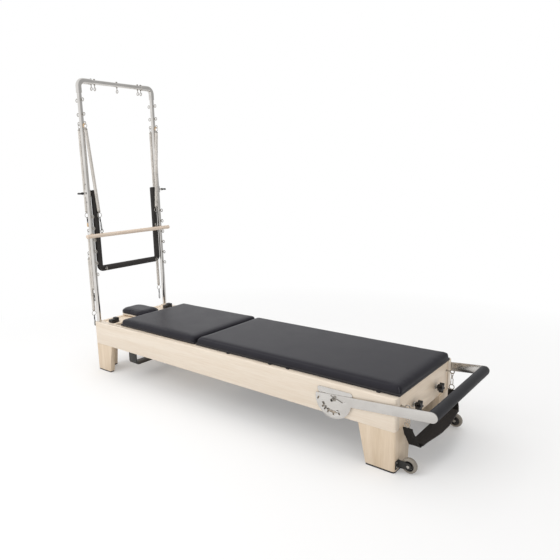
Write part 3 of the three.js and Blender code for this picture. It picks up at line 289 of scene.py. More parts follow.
def join(bm, part, material=0, matrix=None):
    """Adds a finished shape to a larger one."""
    if matrix is not None:
        shift(part, matrix)
    for face in part.faces:
        face.material_index = material
    mesh = as_mesh(part, "part")
    bm.from_mesh(mesh)
    bpy.data.meshes.remove(mesh)


def sweep(bm, path, radius, sides=16, closed=False, material=0):
    """A round bar or wire along a path."""
    line = bpy.data.curves.new("line", "CURVE")
    line.dimensions = "3D"
    line.bevel_depth = radius
    line.bevel_resolution = (sides - 4) // 2
    line.use_fill_caps = not closed
    spline = line.splines.new("POLY")
    spline.points.add(len(path) - 1)
    for point, place in zip(spline.points, path):
        point.co = (*place, 1)
    spline.use_cyclic_u = closed
    holder = bpy.data.objects.new("line", line)
    mesh = bpy.data.meshes.new_from_object(holder)
    part = bmesh.new()
    part.from_mesh(mesh)
    bpy.data.objects.remove(holder)
    bpy.data.curves.remove(line)
    bpy.data.meshes.remove(mesh)
    bmesh.ops.remove_doubles(part, verts=part.verts, dist=0.001)
    bmesh.ops.recalc_face_normals(part, faces=part.faces)
    join(bm, part, material)


AXES = {
    "x": Matrix.Rotation(math.pi / 2, 4, "Y"),
    "y": Matrix.Rotation(-math.pi / 2, 4, "X"),
    "-y": Matrix.Rotation(math.pi / 2, 4, "X"),
    "z": Matrix.Identity(4),
}


def turn(bm, profile, place, axis="z", steps=40, material=0, closed=False):
    """A turned shape: (radius, distance along the axis) pairs, spun about the axis at a place."""
    part = bmesh.new()
    verts = [part.verts.new((radius, 0, along)) for radius, along in profile]
    pairs = list(zip(verts, verts[1:])) + ([(verts[-1], verts[0])] if closed else [])
    edges = [part.edges.new(pair) for pair in pairs]
    bmesh.ops.spin(part, geom=verts + edges, cent=(0, 0, 0), axis=(0, 0, 1), angle=math.tau,
                   steps=steps, use_merge=True, use_duplicate=False)
    bmesh.ops.remove_doubles(part, verts=part.verts, dist=0.001)
    bmesh.ops.recalc_face_normals(part, faces=part.faces)
    join(bm, part, material, Matrix.Translation(place) @ AXES[axis])


def mirrored(profile):
    """A closed profile, the same at both ends, from its first half."""
    return profile + [(radius, -along) for radius, along in reversed(profile)]


def rod(bm, axis, radius, low, high, place, material=0, ease=0.6, steps=32):
    """A round bar with eased ends, from low to high along an axis through a place."""
    low, high = min(low, high), max(low, high)
    centre = Vector(place)
    centre["xyz".index(axis)] = 0
    profile = [(0, low), (radius - ease, low), (radius, low + ease), (radius, high - ease),
               (radius - ease, high), (0, high)]
    turn(bm, profile, centre, axis, steps, material)


def block(bm, low, high, ease=1.0, material=0, segments=2):
    """A box with eased edges."""
    part = bmesh.new()
    bmesh.ops.create_cube(part, size=1)
    low, high = Vector(low), Vector(high)
    size = Matrix.Diagonal((*(high - low), 1))
    shift(part, Matrix.Translation((low + high) / 2) @ size)
    round_edges(part, part.edges, ease, segments)
    join(bm, part, material)


def polar(radius, angle):
    """A place on a circle about the origin."""
    return radius * math.cos(angle), radius * math.sin(angle)


def ring_path(centre, radius, normal, steps=32):
    """Points of a circle whose plane is square to an axis."""
    return [Vector(centre) + AXES[normal] @ Vector((*polar(radius, math.tau * i / steps), 0))
            for i in range(steps)]


def bent_path(corners, bend, steps=14):
    """A run through corners in any direction, each inner corner bent to a radius."""
    points = []
    corners = [Vector(corner) for corner in corners]
    for i, here in enumerate(corners):
        if i in (0, len(corners) - 1):
            points.append(here)
            continue
        back = (corners[i - 1] - here).normalized()
        on = (corners[i + 1] - here).normalized()
        angle = back.angle(on)
        reach = bend / math.tan(angle / 2)
        centre = here + (back + on).normalized() * (bend / math.sin(angle / 2))
        start = (here + back * reach - centre).normalized()
        end = (here + on * reach - centre).normalized()
        points += [centre + start.slerp(end, k / steps) * bend for k in range(steps + 1)]
    return points


def stadium_path(across, centre, width, low, high, steps=10):
    """An upright link's centre line at a place: straight sides and round ends."""
    radius = width / 2
    points = []
    for middle, start in ((high - radius, 0), (low + radius, math.pi)):
        for k in range(steps + 1):
            side, rise = polar(radius, start + math.pi * k / steps)
            points.append(Vector(centre) + Vector(across) * side + Vector((0, 0, middle + rise)))
    return points


def eased(node, ease, segments=2):
    """A CAD node's shape with its sharp edges eased."""
    bm = bmesh.new()
    bm.from_mesh(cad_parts[node].data)
    shift(bm, TO_MM)
    bmesh.ops.remove_doubles(bm, verts=bm.verts, dist=0.02)
    bmesh.ops.dissolve_limit(bm, angle_limit=math.radians(1.5), verts=bm.verts, edges=bm.edges)
    round_edges(bm, sharp_edges(bm, 28), ease, segments)
    return bm


def piece(name, bm, body, materials, replaces=(), smooth=32):
    """Finishes a shape as a piece of the object, at its place in the row frame."""
    shift(bm, TO_ROW)
    for face in bm.faces:
        face.smooth = True
    for edge in sharp_edges(bm, smooth):
        edge.smooth = False
    made = linked(name, as_mesh(bm, name))
    for material in materials if isinstance(materials, (list, tuple)) else [materials]:
        made.data.materials.append(material)
    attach(made, body)
    if replaces:
        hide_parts(*replaces)
    return made


def stand_in(node, ending, bm, body, materials, smooth=32):
    """A piece that takes the place of one CAD node and is named after it."""
    return piece(f"{node}_{ending}", bm, body, materials, [node], smooth)


# Wooden frame

def board(node, material):
    """A maple board of the frame, its edges eased by hand."""
    stand_in(node, "eased", eased(node, 1.2), "frame", material)


for side_name, side in SIDES:
    board(f"side_rail_{side_name}", maple_x)
    for end_name in ("head", "foot"):
        board(f"leg_{end_name}_{side_name}", maple_upright_painted_shade)
        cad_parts[f"rubber_foot_{end_name}_{side_name}"].data.materials[0] = rubber
    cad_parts[f"track_{side_name}"].data.materials[0] = aluminium
    cleat = f"rope_cleat_{side_name}"
    stand_in(cleat, "moulded", eased(cleat, 2.2, 3), "frame", nylon)
board("head_board", maple_across_painted_light)
board("foot_board", maple_across_painted_light)
stand_in("storage_cradle", "coated", eased("storage_cradle", 0.9), "frame",
         powder_coat)


# Upholstered pads

class Pad:
    """A pad's CAD node, and its ends in x, half width, corner radii, base and thickness."""

    def __init__(self, node, half_y, radii, crown, base=None):
        low, high = box_mm(node)
        self.node, self.half_y, self.radii = node, half_y, radii
        self.head, self.foot = low.x, high.x
        self.base = low.z if base is None else base
        self.thickness, self.crown = high.z - self.base - crown, crown

    def outline(self, inset=0.0, spacing=6.0):
        """Points along the outline, drawn in by an inset."""
        points = []
        corners = ((self.foot, 1, 1), (self.head, -1, 1), (self.head, -1, -1), (self.foot, 1, -1))
        for quarter, (x, x_side, y_side) in enumerate(corners):
            radius = self.radii[x_side > 0]
            centre = (x - x_side * radius, y_side * (self.half_y - radius))
            for k in range(9):
                over_x, over_y = polar(radius - inset, (quarter + k / 8) * math.pi / 2)
                points.append((centre[0] + over_x, centre[1] + over_y))
        full = []
        for here, after in zip(points, points[1:] + points[:1]):
            count = max(1, round(math.dist(here, after) / spacing))
            full += [[a + (b - a) * k / count for a, b in zip(here, after)] for k in range(count)]
        return full

    def depth(self, x, y):
        """How far a place is inside the outline."""
        middle = (self.head + self.foot) / 2
        radius = self.radii[x > middle]
        over_x = abs(x - middle) - ((self.foot - self.head) / 2 - radius)
        over_y = abs(y) - (self.half_y - radius)
        outside = math.hypot(max(over_x, 0), max(over_y, 0))
        return radius - outside - min(max(over_x, over_y), 0)


def smooth_step(share):
    """0 to 1, level at both ends."""
    share = max(0.0, min(1.0, share))
    return share * share * (3 - 2 * share)


def pad_blank(pad, shoulder):
    """The cut foam: the outline raised to its thickness, with a round upper edge."""
    bm = bmesh.new()
    bm.faces.new([bm.verts.new((x, y, pad.base)) for x, y in pad.outline(1.5)])
    raise_faces(bm, pad.thickness)
    rim = [edge for edge in bm.edges if all(v.co.z > pad.base + 1 for v in edge.verts)]
    round_edges(bm, rim, shoulder, 5)
    return bm


def modified(holder):
    """The holder's mesh with its modifiers applied."""
    graph = bpy.context.evaluated_depsgraph_get()
    return bpy.data.meshes.new_from_object(holder.evaluated_get(graph))


PRESSURE, SETTLING_FRAMES = 4, 20


def filled(pad, shoulder, voxel, swell):
    """The pad's covered foam: the blank remeshed, then pressed out against its cover."""
    blank = pad_blank(pad, shoulder)
    shift(blank, TO_ROW)
    holder = linked("blank", as_mesh(blank, "blank"))
    remesh = holder.modifiers.new("remesh", "REMESH")
    remesh.mode = "VOXEL"
    remesh.voxel_size = voxel * MM
    even = pressed = modified(holder)
    holder.modifiers.clear()
    holder.data = even
    cloth = holder.modifiers.new("cloth", "CLOTH")
    cloth.settings.use_pressure = True
    cloth.settings.uniform_pressure_force = PRESSURE
    cloth.settings.effector_weights.gravity = 0
    cloth.point_cache.frame_start, cloth.point_cache.frame_end = 1, SETTLING_FRAMES
    for step in range(1, SETTLING_FRAMES + 1):
        scene.frame_set(step)
    pressed = modified(holder)
    holder.modifiers.clear()
    scene.frame_set(1)
    bm = bmesh.new()
    bm.from_mesh(even)
    for vertex, end in zip(bm.verts, pressed.vertices):
        move = end.co - vertex.co
        if move.length > swell * MM:
            move *= swell * MM / move.length
        vertex.co = TO_MM @ (vertex.co + move)
    bpy.data.objects.remove(holder)
    return bm


# The sewn line behind the rolled edge runs along the long sides and fades out before the foot end
CREASE_IN, CREASE_WIDTH, CREASE_DEPTH = 21.0, 6.5, 2.8
CREASE_STOP, CREASE_FADE = 25, 60
SEAM_RADIUS = 1.6
COVER_BASE = 370.3  # the cover is drawn down over the edge of the board


def upholstered(pad, body, shoulder, voxel, swell, crease):
    """A covered pad: a crowned top with a rolled edge, sides a little full, and a flat base."""
    bm = filled(pad, shoulder, voxel, swell)
    for _ in range(2):
        even_out(bm, 0.5)
    for vertex in bm.verts:
        x, y, z = vertex.co
        depth = pad.depth(x, y)
        share = (z - pad.base) / pad.thickness
        top = smooth_step(share * 1.6 - 0.6)
        vertex.co.z += pad.crown * smooth_step((depth - 4) / 55) * top
        along = smooth_step((pad.foot - CREASE_STOP - x) / CREASE_FADE)
        inward = (pad.half_y - abs(y) - CREASE_IN) / CREASE_WIDTH
        vertex.co.z -= crease * math.exp(-inward ** 2) * top * along
        if share < 0.12:
            vertex.co.z = max(vertex.co.z, pad.base)
    even_out(bm, 0.3)
    tree = BVHTree.FromBMesh(bm)
    made = stand_in(pad.node, "covered", bm, body, vinyl, smooth=80)
    return tree


upholstered(Pad("carriage_pad", 312, (26, 26), 3.0, COVER_BASE), "carriage", shoulder=16,
            voxel=6, swell=3.5, crease=0.6)
mat_pad = Pad("mat_pad", 312, (26, 26), 3.0, COVER_BASE)
mat_surface = upholstered(mat_pad, "mat", shoulder=20, voxel=6, swell=3.5,
                          crease=CREASE_DEPTH)
seams = bmesh.new()
for _, side in SIDES:
    # Down the two corners at the foot end: welts in the lighter piping vinyl, a painted highlight
    # on the corner folds
    line = []
    outward = Vector((1, side, 0)).normalized()
    radius = mat_pad.radii[1]
    middle = Vector((mat_pad.foot - radius, side * (mat_pad.half_y - radius), 0))
    for k in range(14):
        z = mat_pad.base + 3 + (mat_pad.thickness - 7) * k / 13
        place, _, _, _ = mat_surface.ray_cast(middle + outward * 200 + Vector((0, 0, z)), -outward)
        if place:
            line.append(place + outward * 0.2)
    sweep(seams, line, SEAM_RADIUS, 8)
piece("mat_pad_corner_welts_painted_highlight", seams, "mat", piping_painted_highlight)
upholstered(Pad("headrest_pad", 105, (66, 64), 8.0), "headrest", shoulder=13, voxel=4,
            swell=7, crease=0)


# Boards under the pads

def two_tone(node, height):
    """A node's eased shape, whose faces below a height take the second material."""
    bm = eased(node, 0.8)
    for face in bm.faces:
        face.material_index = int(face.calc_center_median().z < height)
    return bm


stand_in("carriage_frame", "eased", two_tone("carriage_frame", 369.6), "carriage",
         [wrapped, maple_x])
BUFFER_SHARES = (0.21, 0.44, 0.53, 0.92)  # of the mat's length, from its head end
mat_board = eased("mat_board", 0.8)
for share in BUFFER_SHARES:
    for _, side in SIDES:
        x = mat_pad.head + share * (mat_pad.foot - mat_pad.head)
        block(mat_board, (x - 9, side * 313 - 6, 368.3), (x + 9, side * 313 + 6, 373.5), 1.2, 1)
stand_in("mat_board", "wrapped", mat_board, "mat", [wrapped, rubber])
stand_in("headrest_plate", "eased", two_tone("headrest_plate", 368.9), "headrest",
         [maple_x, zinc])
stand_in("headrest_hinge", "eased", eased("headrest_hinge", 0.5), "carriage", zinc)

ROLLER_RADIUS, ROLLER_WIDTH, ROLLER_BORE = 24, 22, 5.4
for end_name in ("head", "foot"):
    for side_name, side in SIDES:
        node = f"carriage_roller_{end_name}_{side_name}"
        low, high = box_mm(node)
        half = ROLLER_WIDTH / 2
        wheel = bmesh.new()
        turn(wheel, mirrored([(ROLLER_BORE, -half), (15, -half), (16, -half + 2), (20, -half + 2),
                              (22, -half), (ROLLER_RADIUS, -half + 2)]),
             (low + high) / 2, "y", closed=True)
        stand_in(node, "cast", wheel, f"roller_{end_name}_{side_name}", tyre)


# Fittings shared by the tower and the foot end

EYE_RING, EYE_WIRE, EYE_SHANK = 10.5, 2.8, 3.0


def eyebolt(bm, eye, axis, sign, seat, material=0):
    """An eye with its plane square to y, its shank to a seat face, and a collar and nut there.
    The sign is the eye's side of the seat."""
    sweep(bm, ring_path(eye, EYE_RING, "y"), EYE_WIRE, 12, True, material)
    start = eye["xyz".index(axis)] - sign * (EYE_RING - EYE_WIRE + 1)
    rod(bm, axis, EYE_SHANK, start, seat - sign * 3, eye, material, steps=16)
    rod(bm, axis, 5.5, seat + sign * 0.2, seat + sign * 2.4, eye, material, 0.4, 20)
    nut(bm, axis, 5.8, seat + sign * 2.4, seat + sign * 6.4, eye, material)


def nut(bm, axis, radius, low, high, place, material=0):
    """A hexagon nut with eased corners."""
    rod(bm, axis, radius, low, high, place, material, 0.7, 6)


def snap_hook(bm, top, length, x, y, material=0):
    """A snap hook hanging at a place: a small eye, a swivel, and a hook closed by a gate."""
    reach, wire = 5.6, 2.3
    eye_low = top - 17
    sweep(bm, stadium_path((1, 0, 0), (x, y, 0), reach * 2 - 1.5, eye_low, top - wire + 0.6),
          wire - 0.4, 10, True, material)
    neck = min(16, length * 0.2)
    turn(bm, [(0, eye_low + 2), (3.2, eye_low + 2), (4.6, eye_low), (4.6, eye_low - neck + 3),
              (3.4, eye_low - neck), (0, eye_low - neck)], (x, y, 0), "z", 20, material)
    low = top - length
    start = eye_low - neck + 2
    bend = low + reach + wire
    hook = [(x, y, start), (x + reach * 0.5, y, start - 3), (x + reach, y, start - 8),
            (x + reach, y, bend)]
    for k in range(1, 13):
        out, rise = polar(reach, -math.pi * k / 12)
        hook.append((x + out, y, bend + rise))
    hook.append((x - reach, y, low + (start - low) * 0.55))
    sweep(bm, hook, wire, 10, False, material)
    sweep(bm, [(x - reach, y, low + (start - low) * 0.52), (x - reach * 0.9, y, start - 5),
               (x - 1, y, start - 2)], wire * 0.7, 8, False, material)


# Tower

POST_X, POST_Y, POST_RADIUS, TOWER_TOP = -1158, 320, 16, 2068
POST_FOOT = 268.3
ELBOW_RADIUS, ELBOW_BEND, ELBOW_LEG, ELBOW_REACH = 20, 38, 80, 100
EYE_STAND, LEG_EYE_STAND = 37, 60
UPPER_EYES = (1940, 1845, 1785)
LOWER_EYES = [1142 - 83.5 * row for row in range(6)]
HEAD_EYE = LOWER_EYES[1] - 18
LEG_EYE = {"near": LOWER_EYES[3] - 18, "far": LOWER_EYES[2] - 18}
TOP_EYES, TOP_EYE_DROP = (-218, -190, 0, 190, 218), 46
COLLAR, COLLAR_LENGTH, COLLAR_RADIUS = 1307, 50, 21
PIN_HOLES = (COLLAR - 62, COLLAR, COLLAR + 62)
HOLE_RADIUS = 4.4


def bored(bm, cutters):
    """The shape with holes cut through it."""
    holder, tool = linked("body", as_mesh(bm, "body")), linked("tool", as_mesh(cutters, "tool"))
    boolean = holder.modifiers.new("holes", "BOOLEAN")
    boolean.operation, boolean.object, boolean.solver = "DIFFERENCE", tool, "EXACT"
    cut = modified(holder)
    made = bmesh.new()
    made.from_mesh(cut)
    for item in (holder, tool):
        bpy.data.objects.remove(item)
    return made


for side_name, side in SIDES:
    y = side * POST_Y
    tube, holes = bmesh.new(), bmesh.new()
    turn(tube, [(POST_RADIUS - 2.5, POST_FOOT), (POST_RADIUS, POST_FOOT),
                (POST_RADIUS, TOWER_TOP - ELBOW_BEND), (POST_RADIUS - 2.5, TOWER_TOP - ELBOW_BEND)],
         (POST_X, y, 0), "z", 48, closed=True)
    for z in PIN_HOLES:
        rod(holes, "y", HOLE_RADIUS, y, y + side * 30, (POST_X, 0, z), ease=0.1, steps=20)
    post = bored(tube, holes)
    eyes = [(z, facing, EYE_STAND) for z in UPPER_EYES for facing in (1, -1)]
    eyes += [(z, 1, EYE_STAND) for z in LOWER_EYES]
    eyes += [(HEAD_EYE, -1, EYE_STAND), (LEG_EYE[side_name], -1, LEG_EYE_STAND)]
    for z, facing, stand in eyes:
        eyebolt(post, (POST_X + facing * stand, y, z), "x", facing,
                POST_X + facing * (POST_RADIUS - 0.4), 1)
    stand_in(f"tower_post_{side_name}", "tube", post, "frame", [chrome, zinc])

bar = bmesh.new()
straight = POST_Y - ELBOW_BEND
rod(bar, "y", POST_RADIUS, -straight, straight, (POST_X, 0, TOWER_TOP), steps=48)
for side_name, side in SIDES:
    corners = [(POST_X, side * POST_Y, TOWER_TOP - ELBOW_LEG), (POST_X, side * POST_Y, TOWER_TOP),
               (POST_X, side * (POST_Y - ELBOW_REACH), TOWER_TOP)]
    sweep(bar, bent_path(corners, ELBOW_BEND), ELBOW_RADIUS, 48)
for y in TOP_EYES:
    eyebolt(bar, (POST_X, y, TOWER_TOP - TOP_EYE_DROP), "z", -1, TOWER_TOP - POST_RADIUS + 0.4, 1)
    nut(bar, "z", 7, TOWER_TOP + 12, TOWER_TOP + POST_RADIUS + 6, (POST_X, y, 0), 1)
stand_in("tower_top_bar", "tube", bar, "frame", [chrome, zinc])


# Push-through bar

BAR_SPREAD, BAR_BOTTOM, BAR_BEND, BAR_TOP = 272, 757, 25, COLLAR + 18
BAR_TUBE, BAR_FOAM, BAR_EYE_SPREAD, BAR_EYE_STAND = 12.5, 21.5, 240, 33
PIN_BOSS, PIN_BOSS_LENGTH, PIN_NECK = 9, 16, 30

collars = bmesh.new()
for side_name, side in SIDES:
    y, middle = side * POST_Y, (POST_X, 0, COLLAR)
    half = COLLAR_LENGTH / 2
    turn(collars, mirrored([(POST_RADIUS + 0.4, -half), (COLLAR_RADIUS - 1.5, -half),
                            (COLLAR_RADIUS, -half + 1.5)]),
         (POST_X, y, COLLAR), "z", 48, closed=True)
    boss_end = side * (POST_Y + COLLAR_RADIUS + PIN_BOSS_LENGTH)
    rod(collars, "y", PIN_BOSS, side * (POST_Y + COLLAR_RADIUS - 2), boss_end, middle, 0, 1)
    rod(collars, "y", 6, side * (POST_Y - COLLAR_RADIUS + 2), side * (BAR_SPREAD + 6), middle, 1)
    pin = bmesh.new()
    neck_end = boss_end + side * PIN_NECK
    rod(pin, "y", 4, side * (POST_Y + POST_RADIUS + 0.5), neck_end, middle, 1)
    rod(pin, "y", PIN_BOSS, boss_end + side * 0.3, boss_end + side * PIN_NECK / 2, middle, 0, 2)
    rod(pin, "x", 6.4, POST_X - 23, POST_X + 23, (0, neck_end, COLLAR), 0, 3)
    stand_in(f"pull_pin_{side_name}", "moulded", pin, f"pin_{side_name}",
             [nylon, zinc])
piece("collars_chromed", collars, "push_bar_carrier", [chrome, zinc],
      ["collar_near", "collar_far"])

run = bent_path([(POST_X, -BAR_SPREAD, BAR_TOP), (POST_X, -BAR_SPREAD, BAR_BOTTOM),
                 (POST_X, BAR_SPREAD, BAR_BOTTOM), (POST_X, BAR_SPREAD, BAR_TOP)], BAR_BEND)
tube = bmesh.new()
sweep(tube, run, BAR_TUBE, 24)
for side_name, side in SIDES:
    eyebolt(tube, (POST_X + BAR_EYE_STAND, side * BAR_EYE_SPREAD, BAR_BOTTOM), "x", 1,
            POST_X + BAR_FOAM - 1.5)
    rod(tube, "z", BAR_TUBE + 1.5, BAR_TOP - 0.5, BAR_TOP + 2.5, (POST_X, side * BAR_SPREAD, 0),
        1, 1)
stand_in("push_bar_tube", "bent", tube, "push_bar", [zinc, nylon])
sleeve = bmesh.new()
sweep(sleeve, run, BAR_FOAM, 40)
stand_in("push_bar_foam", "sleeve", sleeve, "push_bar", worn_foam)


# Roll-down bar

DOWEL_X, DOWEL_Z, DOWEL_RADIUS, DOWEL_HALF = POST_X + EYE_STAND, 1004, 14.5, 385
DOWEL_EYE_SPREAD, DOWEL_EYE_Z = 255, 1034
dowel = bmesh.new()
rod(dowel, "y", DOWEL_RADIUS, -DOWEL_HALF, DOWEL_HALF, (DOWEL_X, 0, DOWEL_Z), 0, 4, 40)
for side_name, side in SIDES:
    y = side * DOWEL_EYE_SPREAD
    sweep(dowel, ring_path((DOWEL_X, y, DOWEL_EYE_Z), EYE_RING, "x"), EYE_WIRE, 12, True, 1)
    rod(dowel, "z", EYE_SHANK, DOWEL_Z, DOWEL_EYE_Z - 9, (DOWEL_X, y, 0), 1, steps=16)
    dowel_top = DOWEL_Z + DOWEL_RADIUS
    rod(dowel, "z", 6.5, dowel_top - 0.6, dowel_top + 1.6, (DOWEL_X, y, 0), 1, 0.4)
stand_in("roll_down_bar", "turned", dowel, "roll_down", [dowel_maple, zinc])


# Tower springs

COIL_RADIUS, COIL_WIRE = 10.6, 1.4
COIL_PITCH = 2.42  # close wound, a wire's width from turn to turn
LINK_TOP, LINK_LENGTH, LINK_WIDTH, LINK_WIRE = -3.4, 30, 16, 1.75
PLUG_RADIUS, PLUG_LENGTH, PLUG_TIP = 12, 16, 4
SPRING_RING, SPRING_RING_WIRE = 17, 1.9
TURN_STEPS = 10


def close_coil(bm, start, length, axis_matrix=None, radius=COIL_RADIUS, material=0, sides=6):
    """A close-wound spring from a start, down the local z axis."""
    turns = length / COIL_PITCH
    steps = int(turns * TURN_STEPS)
    path = []
    for i in range(steps + 1):
        path.append(Vector((*polar(radius, i / TURN_STEPS * math.tau), -length * i / steps)))
    place = Matrix.Translation(start) @ (axis_matrix or Matrix.Identity(4))
    sweep(bm, [place @ point for point in path], COIL_WIRE, sides, False, material)


def end_plug(bm, wide, tip):
    """A bell-shaped end, from its wide rim at the coil to its tip."""
    way = 1 if tip > wide else -1
    profile = [(0, wide), (PLUG_RADIUS - 0.6, wide), (PLUG_RADIUS, wide + way * 0.8),
               (PLUG_RADIUS - 0.4, wide + way * 4), (PLUG_RADIUS * 0.72, wide + way * 8.5),
               (PLUG_TIP + 1, wide + way * 12.5), (PLUG_TIP, tip - way * 0.8), (PLUG_TIP - 1, tip),
               (0, tip)]
    turn(bm, profile, (0, 0, 0), "z", 24, 1)


def tower_spring(name, body, eye, coil, hook, lean=0.0, tab=False, loop=False, in_cad=True):
    """A spring hanging from an eye: link, end plug, close-wound coil, end plug, ring, snap hook."""
    bm = bmesh.new()
    link = stadium_path((0, 1, 0), (0, 0, 0), LINK_WIDTH - LINK_WIRE * 2,
                        LINK_TOP - LINK_LENGTH + LINK_WIRE, LINK_TOP - LINK_WIRE)
    if loop:
        link = ring_path((0, 0, LINK_TOP - LINK_LENGTH / 2), LINK_LENGTH / 2 - LINK_WIRE, "x")
    sweep(bm, link, LINK_WIRE, 10, True, 1)
    coil_top = LINK_TOP - LINK_LENGTH - PLUG_LENGTH + PLUG_TIP
    end_plug(bm, coil_top, coil_top + PLUG_LENGTH)
    close_coil(bm, (0, 0, coil_top), coil)
    coil_end = coil_top - coil
    end_plug(bm, coil_end, coil_end - PLUG_LENGTH)
    ring_z = coil_end - PLUG_LENGTH + PLUG_TIP - SPRING_RING
    sweep(bm, ring_path((0, 0, ring_z), SPRING_RING, "x", 40), SPRING_RING_WIRE, 10, True, 1)
    hook_top = ring_z - SPRING_RING + SPRING_RING_WIRE - 1 + LINK_WIRE * 2
    snap_hook(bm, hook_top, hook, 0, 0, 2)
    if tab:
        low = hook_top - hook
        block(bm, (-8, -3.6, low + 0.6), (8, 3.6, low + 29), 3, 3, 4)
    if loop:
        sweep(bm, link[13:29], 3.4, 10, False, 3)
    shift(bm, Matrix.Translation(eye) @ Matrix.Rotation(lean, 4, "X"))
    piece(f"{name}_wound", bm, body, [spring_wire, zinc, powder_coat, tan_tab],
          [name] if in_cad else ())


ARM_COIL, ARM_HOOK, LEG_COIL, LEG_HOOK, SPARE_HOOK, ROLL_DOWN_HOOK = 560, 72, 378, 85, 60, 100
drop, inward = UPPER_EYES[2] - DOWEL_EYE_Z, POST_Y - DOWEL_EYE_SPREAD
fittings = (LINK_LENGTH - 2 * LINK_TOP + (PLUG_LENGTH - PLUG_TIP + SPRING_RING - LINK_WIRE) * 2
            - SPRING_RING_WIRE + 1)
for side_name, side in SIDES:
    y = side * POST_Y
    tower_spring(f"roll_down_spring_{side_name}", "roll_down", (DOWEL_X, y, UPPER_EYES[2]),
                 math.hypot(drop, inward) - fittings - ROLL_DOWN_HOOK, ROLL_DOWN_HOOK,
                 -side * math.atan2(inward, drop), loop=True)
    arm_spring, leg_spring = f"arm_spring_{side_name}", f"leg_spring_{side_name}"
    tower_spring(arm_spring, arm_spring, (POST_X - EYE_STAND, y, UPPER_EYES[2]), ARM_COIL,
                 ARM_HOOK, tab=True)
    tower_spring(leg_spring, leg_spring, (POST_X - LEG_EYE_STAND, y, LEG_EYE[side_name]),
                 LEG_COIL, LEG_HOOK)
# A second lower spring hangs beside the near one, close behind the upright
tower_spring("spare_spring_near", "frame", (POST_X - EYE_STAND + 1.6, -POST_Y, HEAD_EYE),
             LEG_COIL, SPARE_HOOK, in_cad=False)


# Spring bar and its carriage springs, under the mat

BAR_X = 1088
SPRINGS_PARKED, PARKED_GAP, PARKED_LENGTH, KNOB_Z, KNOB_SPREAD = 4, 100, 430, 272, 137
low, high = box_mm("spring_bar")
parked = bmesh.new()
block(parked, (BAR_X - 20, low.y, 257.3), (BAR_X, high.y, 287.3), 2)
for side_name, side in SIDES:
    y = side * KNOB_SPREAD
    block(parked, (BAR_X - 10, y - 13, KNOB_Z - 13), (high.x, y + 13, KNOB_Z + 13), 2)
lay = Matrix.Rotation(math.pi / 2, 4, "Y")
for i in range(SPRINGS_PARKED):
    y = (i - (SPRINGS_PARKED - 1) / 2) * PARKED_GAP
    close_coil(parked, (BAR_X - 21, y, KNOB_Z), PARKED_LENGTH - 14, lay, 9.6, 1, 4)
    turn(parked, [(0, 0), (10.5, 0), (10.8, -1), (9, -9), (4, -12), (0, -12)],
         (BAR_X - 22 - PARKED_LENGTH + 14, y, KNOB_Z), "x", 20, 1)
stand_in("spring_bar", "parked", parked, "frame", [zinc, spring_wire])


# Star knobs

KNOB_FACE, KNOB_STAND, KNOB_THICK, KNOB_RADIUS, LOBES = 1175, 18, 22, 27, 5
KNOB_ROUNDING = 2.5
for side_name, side in SIDES:
    bm = bmesh.new()
    bmesh.ops.create_circle(bm, cap_ends=True, segments=100, radius=1)
    for vertex in bm.verts:
        angle = math.atan2(vertex.co.y, vertex.co.x) + math.pi / 2
        vertex.co *= KNOB_RADIUS * (0.7 + 0.3 * math.cos(LOBES * angle))
    raise_faces(bm, KNOB_THICK)
    rims = [edge for edge in bm.edges if abs(edge.verts[0].co.z - edge.verts[1].co.z) < 0.01]
    round_edges(bm, rims, KNOB_ROUNDING, 4)
    # The lobed head lies square to x, with one lobe upright
    shift(bm, Matrix.Translation((KNOB_FACE + KNOB_STAND, side * KNOB_SPREAD, KNOB_Z))
          @ AXES["x"] @ Matrix.Rotation(math.pi / 2, 4, "Z"))
    centre = (0, side * KNOB_SPREAD, KNOB_Z)
    rod(bm, "x", 11, KNOB_FACE + 9, KNOB_FACE + 24, centre, 0, 1.5)
    rod(bm, "x", 8, KNOB_FACE + 38, KNOB_FACE + 40.6, centre, 0, 1)
    rod(bm, "x", 13, KNOB_FACE + 0.3, KNOB_FACE + 2.8, centre, 1, 0.5)
    rod(bm, "x", 5, KNOB_FACE - 78, KNOB_FACE + 18, centre, 1, 0.8)
    stand_in(f"star_knob_{side_name}", "moulded", bm, f"knob_{side_name}",
             [nylon, zinc])


# Foot strap on its eyebolts

STRAP_EYE = (1208, 280, 316)
STRAP_RING, STRAP_RING_Z, STRAP_HOOK = 13, 230.25, 70
STRAP_TOP, STRAP_FLOOR, STRAP_FOOT, STRAP_BEND = 217, 120, 250, 14
STRAP_MIDDLE, STRAP_WIDTH, STRAP_END_HALF, STRAP_WIDENING, STRAP_FOLD = 1233, 54, 23, 110, 46
COVER_WIDTH, COVER_LENGTH, COVER_INNER = 82, 466, 1206

for side_name, side in SIDES:
    x, y, z = STRAP_EYE[0], side * STRAP_EYE[1], STRAP_EYE[2]
    anchor = bmesh.new()
    eyebolt(anchor, (x, y, z), "x", 1, KNOB_FACE)
    snap_hook(anchor, z - 6.2, STRAP_HOOK, x, y)
    sweep(anchor, ring_path((x, y, STRAP_RING_Z), STRAP_RING, "y", 40), 2.3, 12, True)
    stand_in(f"strap_anchor_{side_name}", "plated", anchor, "frame", zinc)


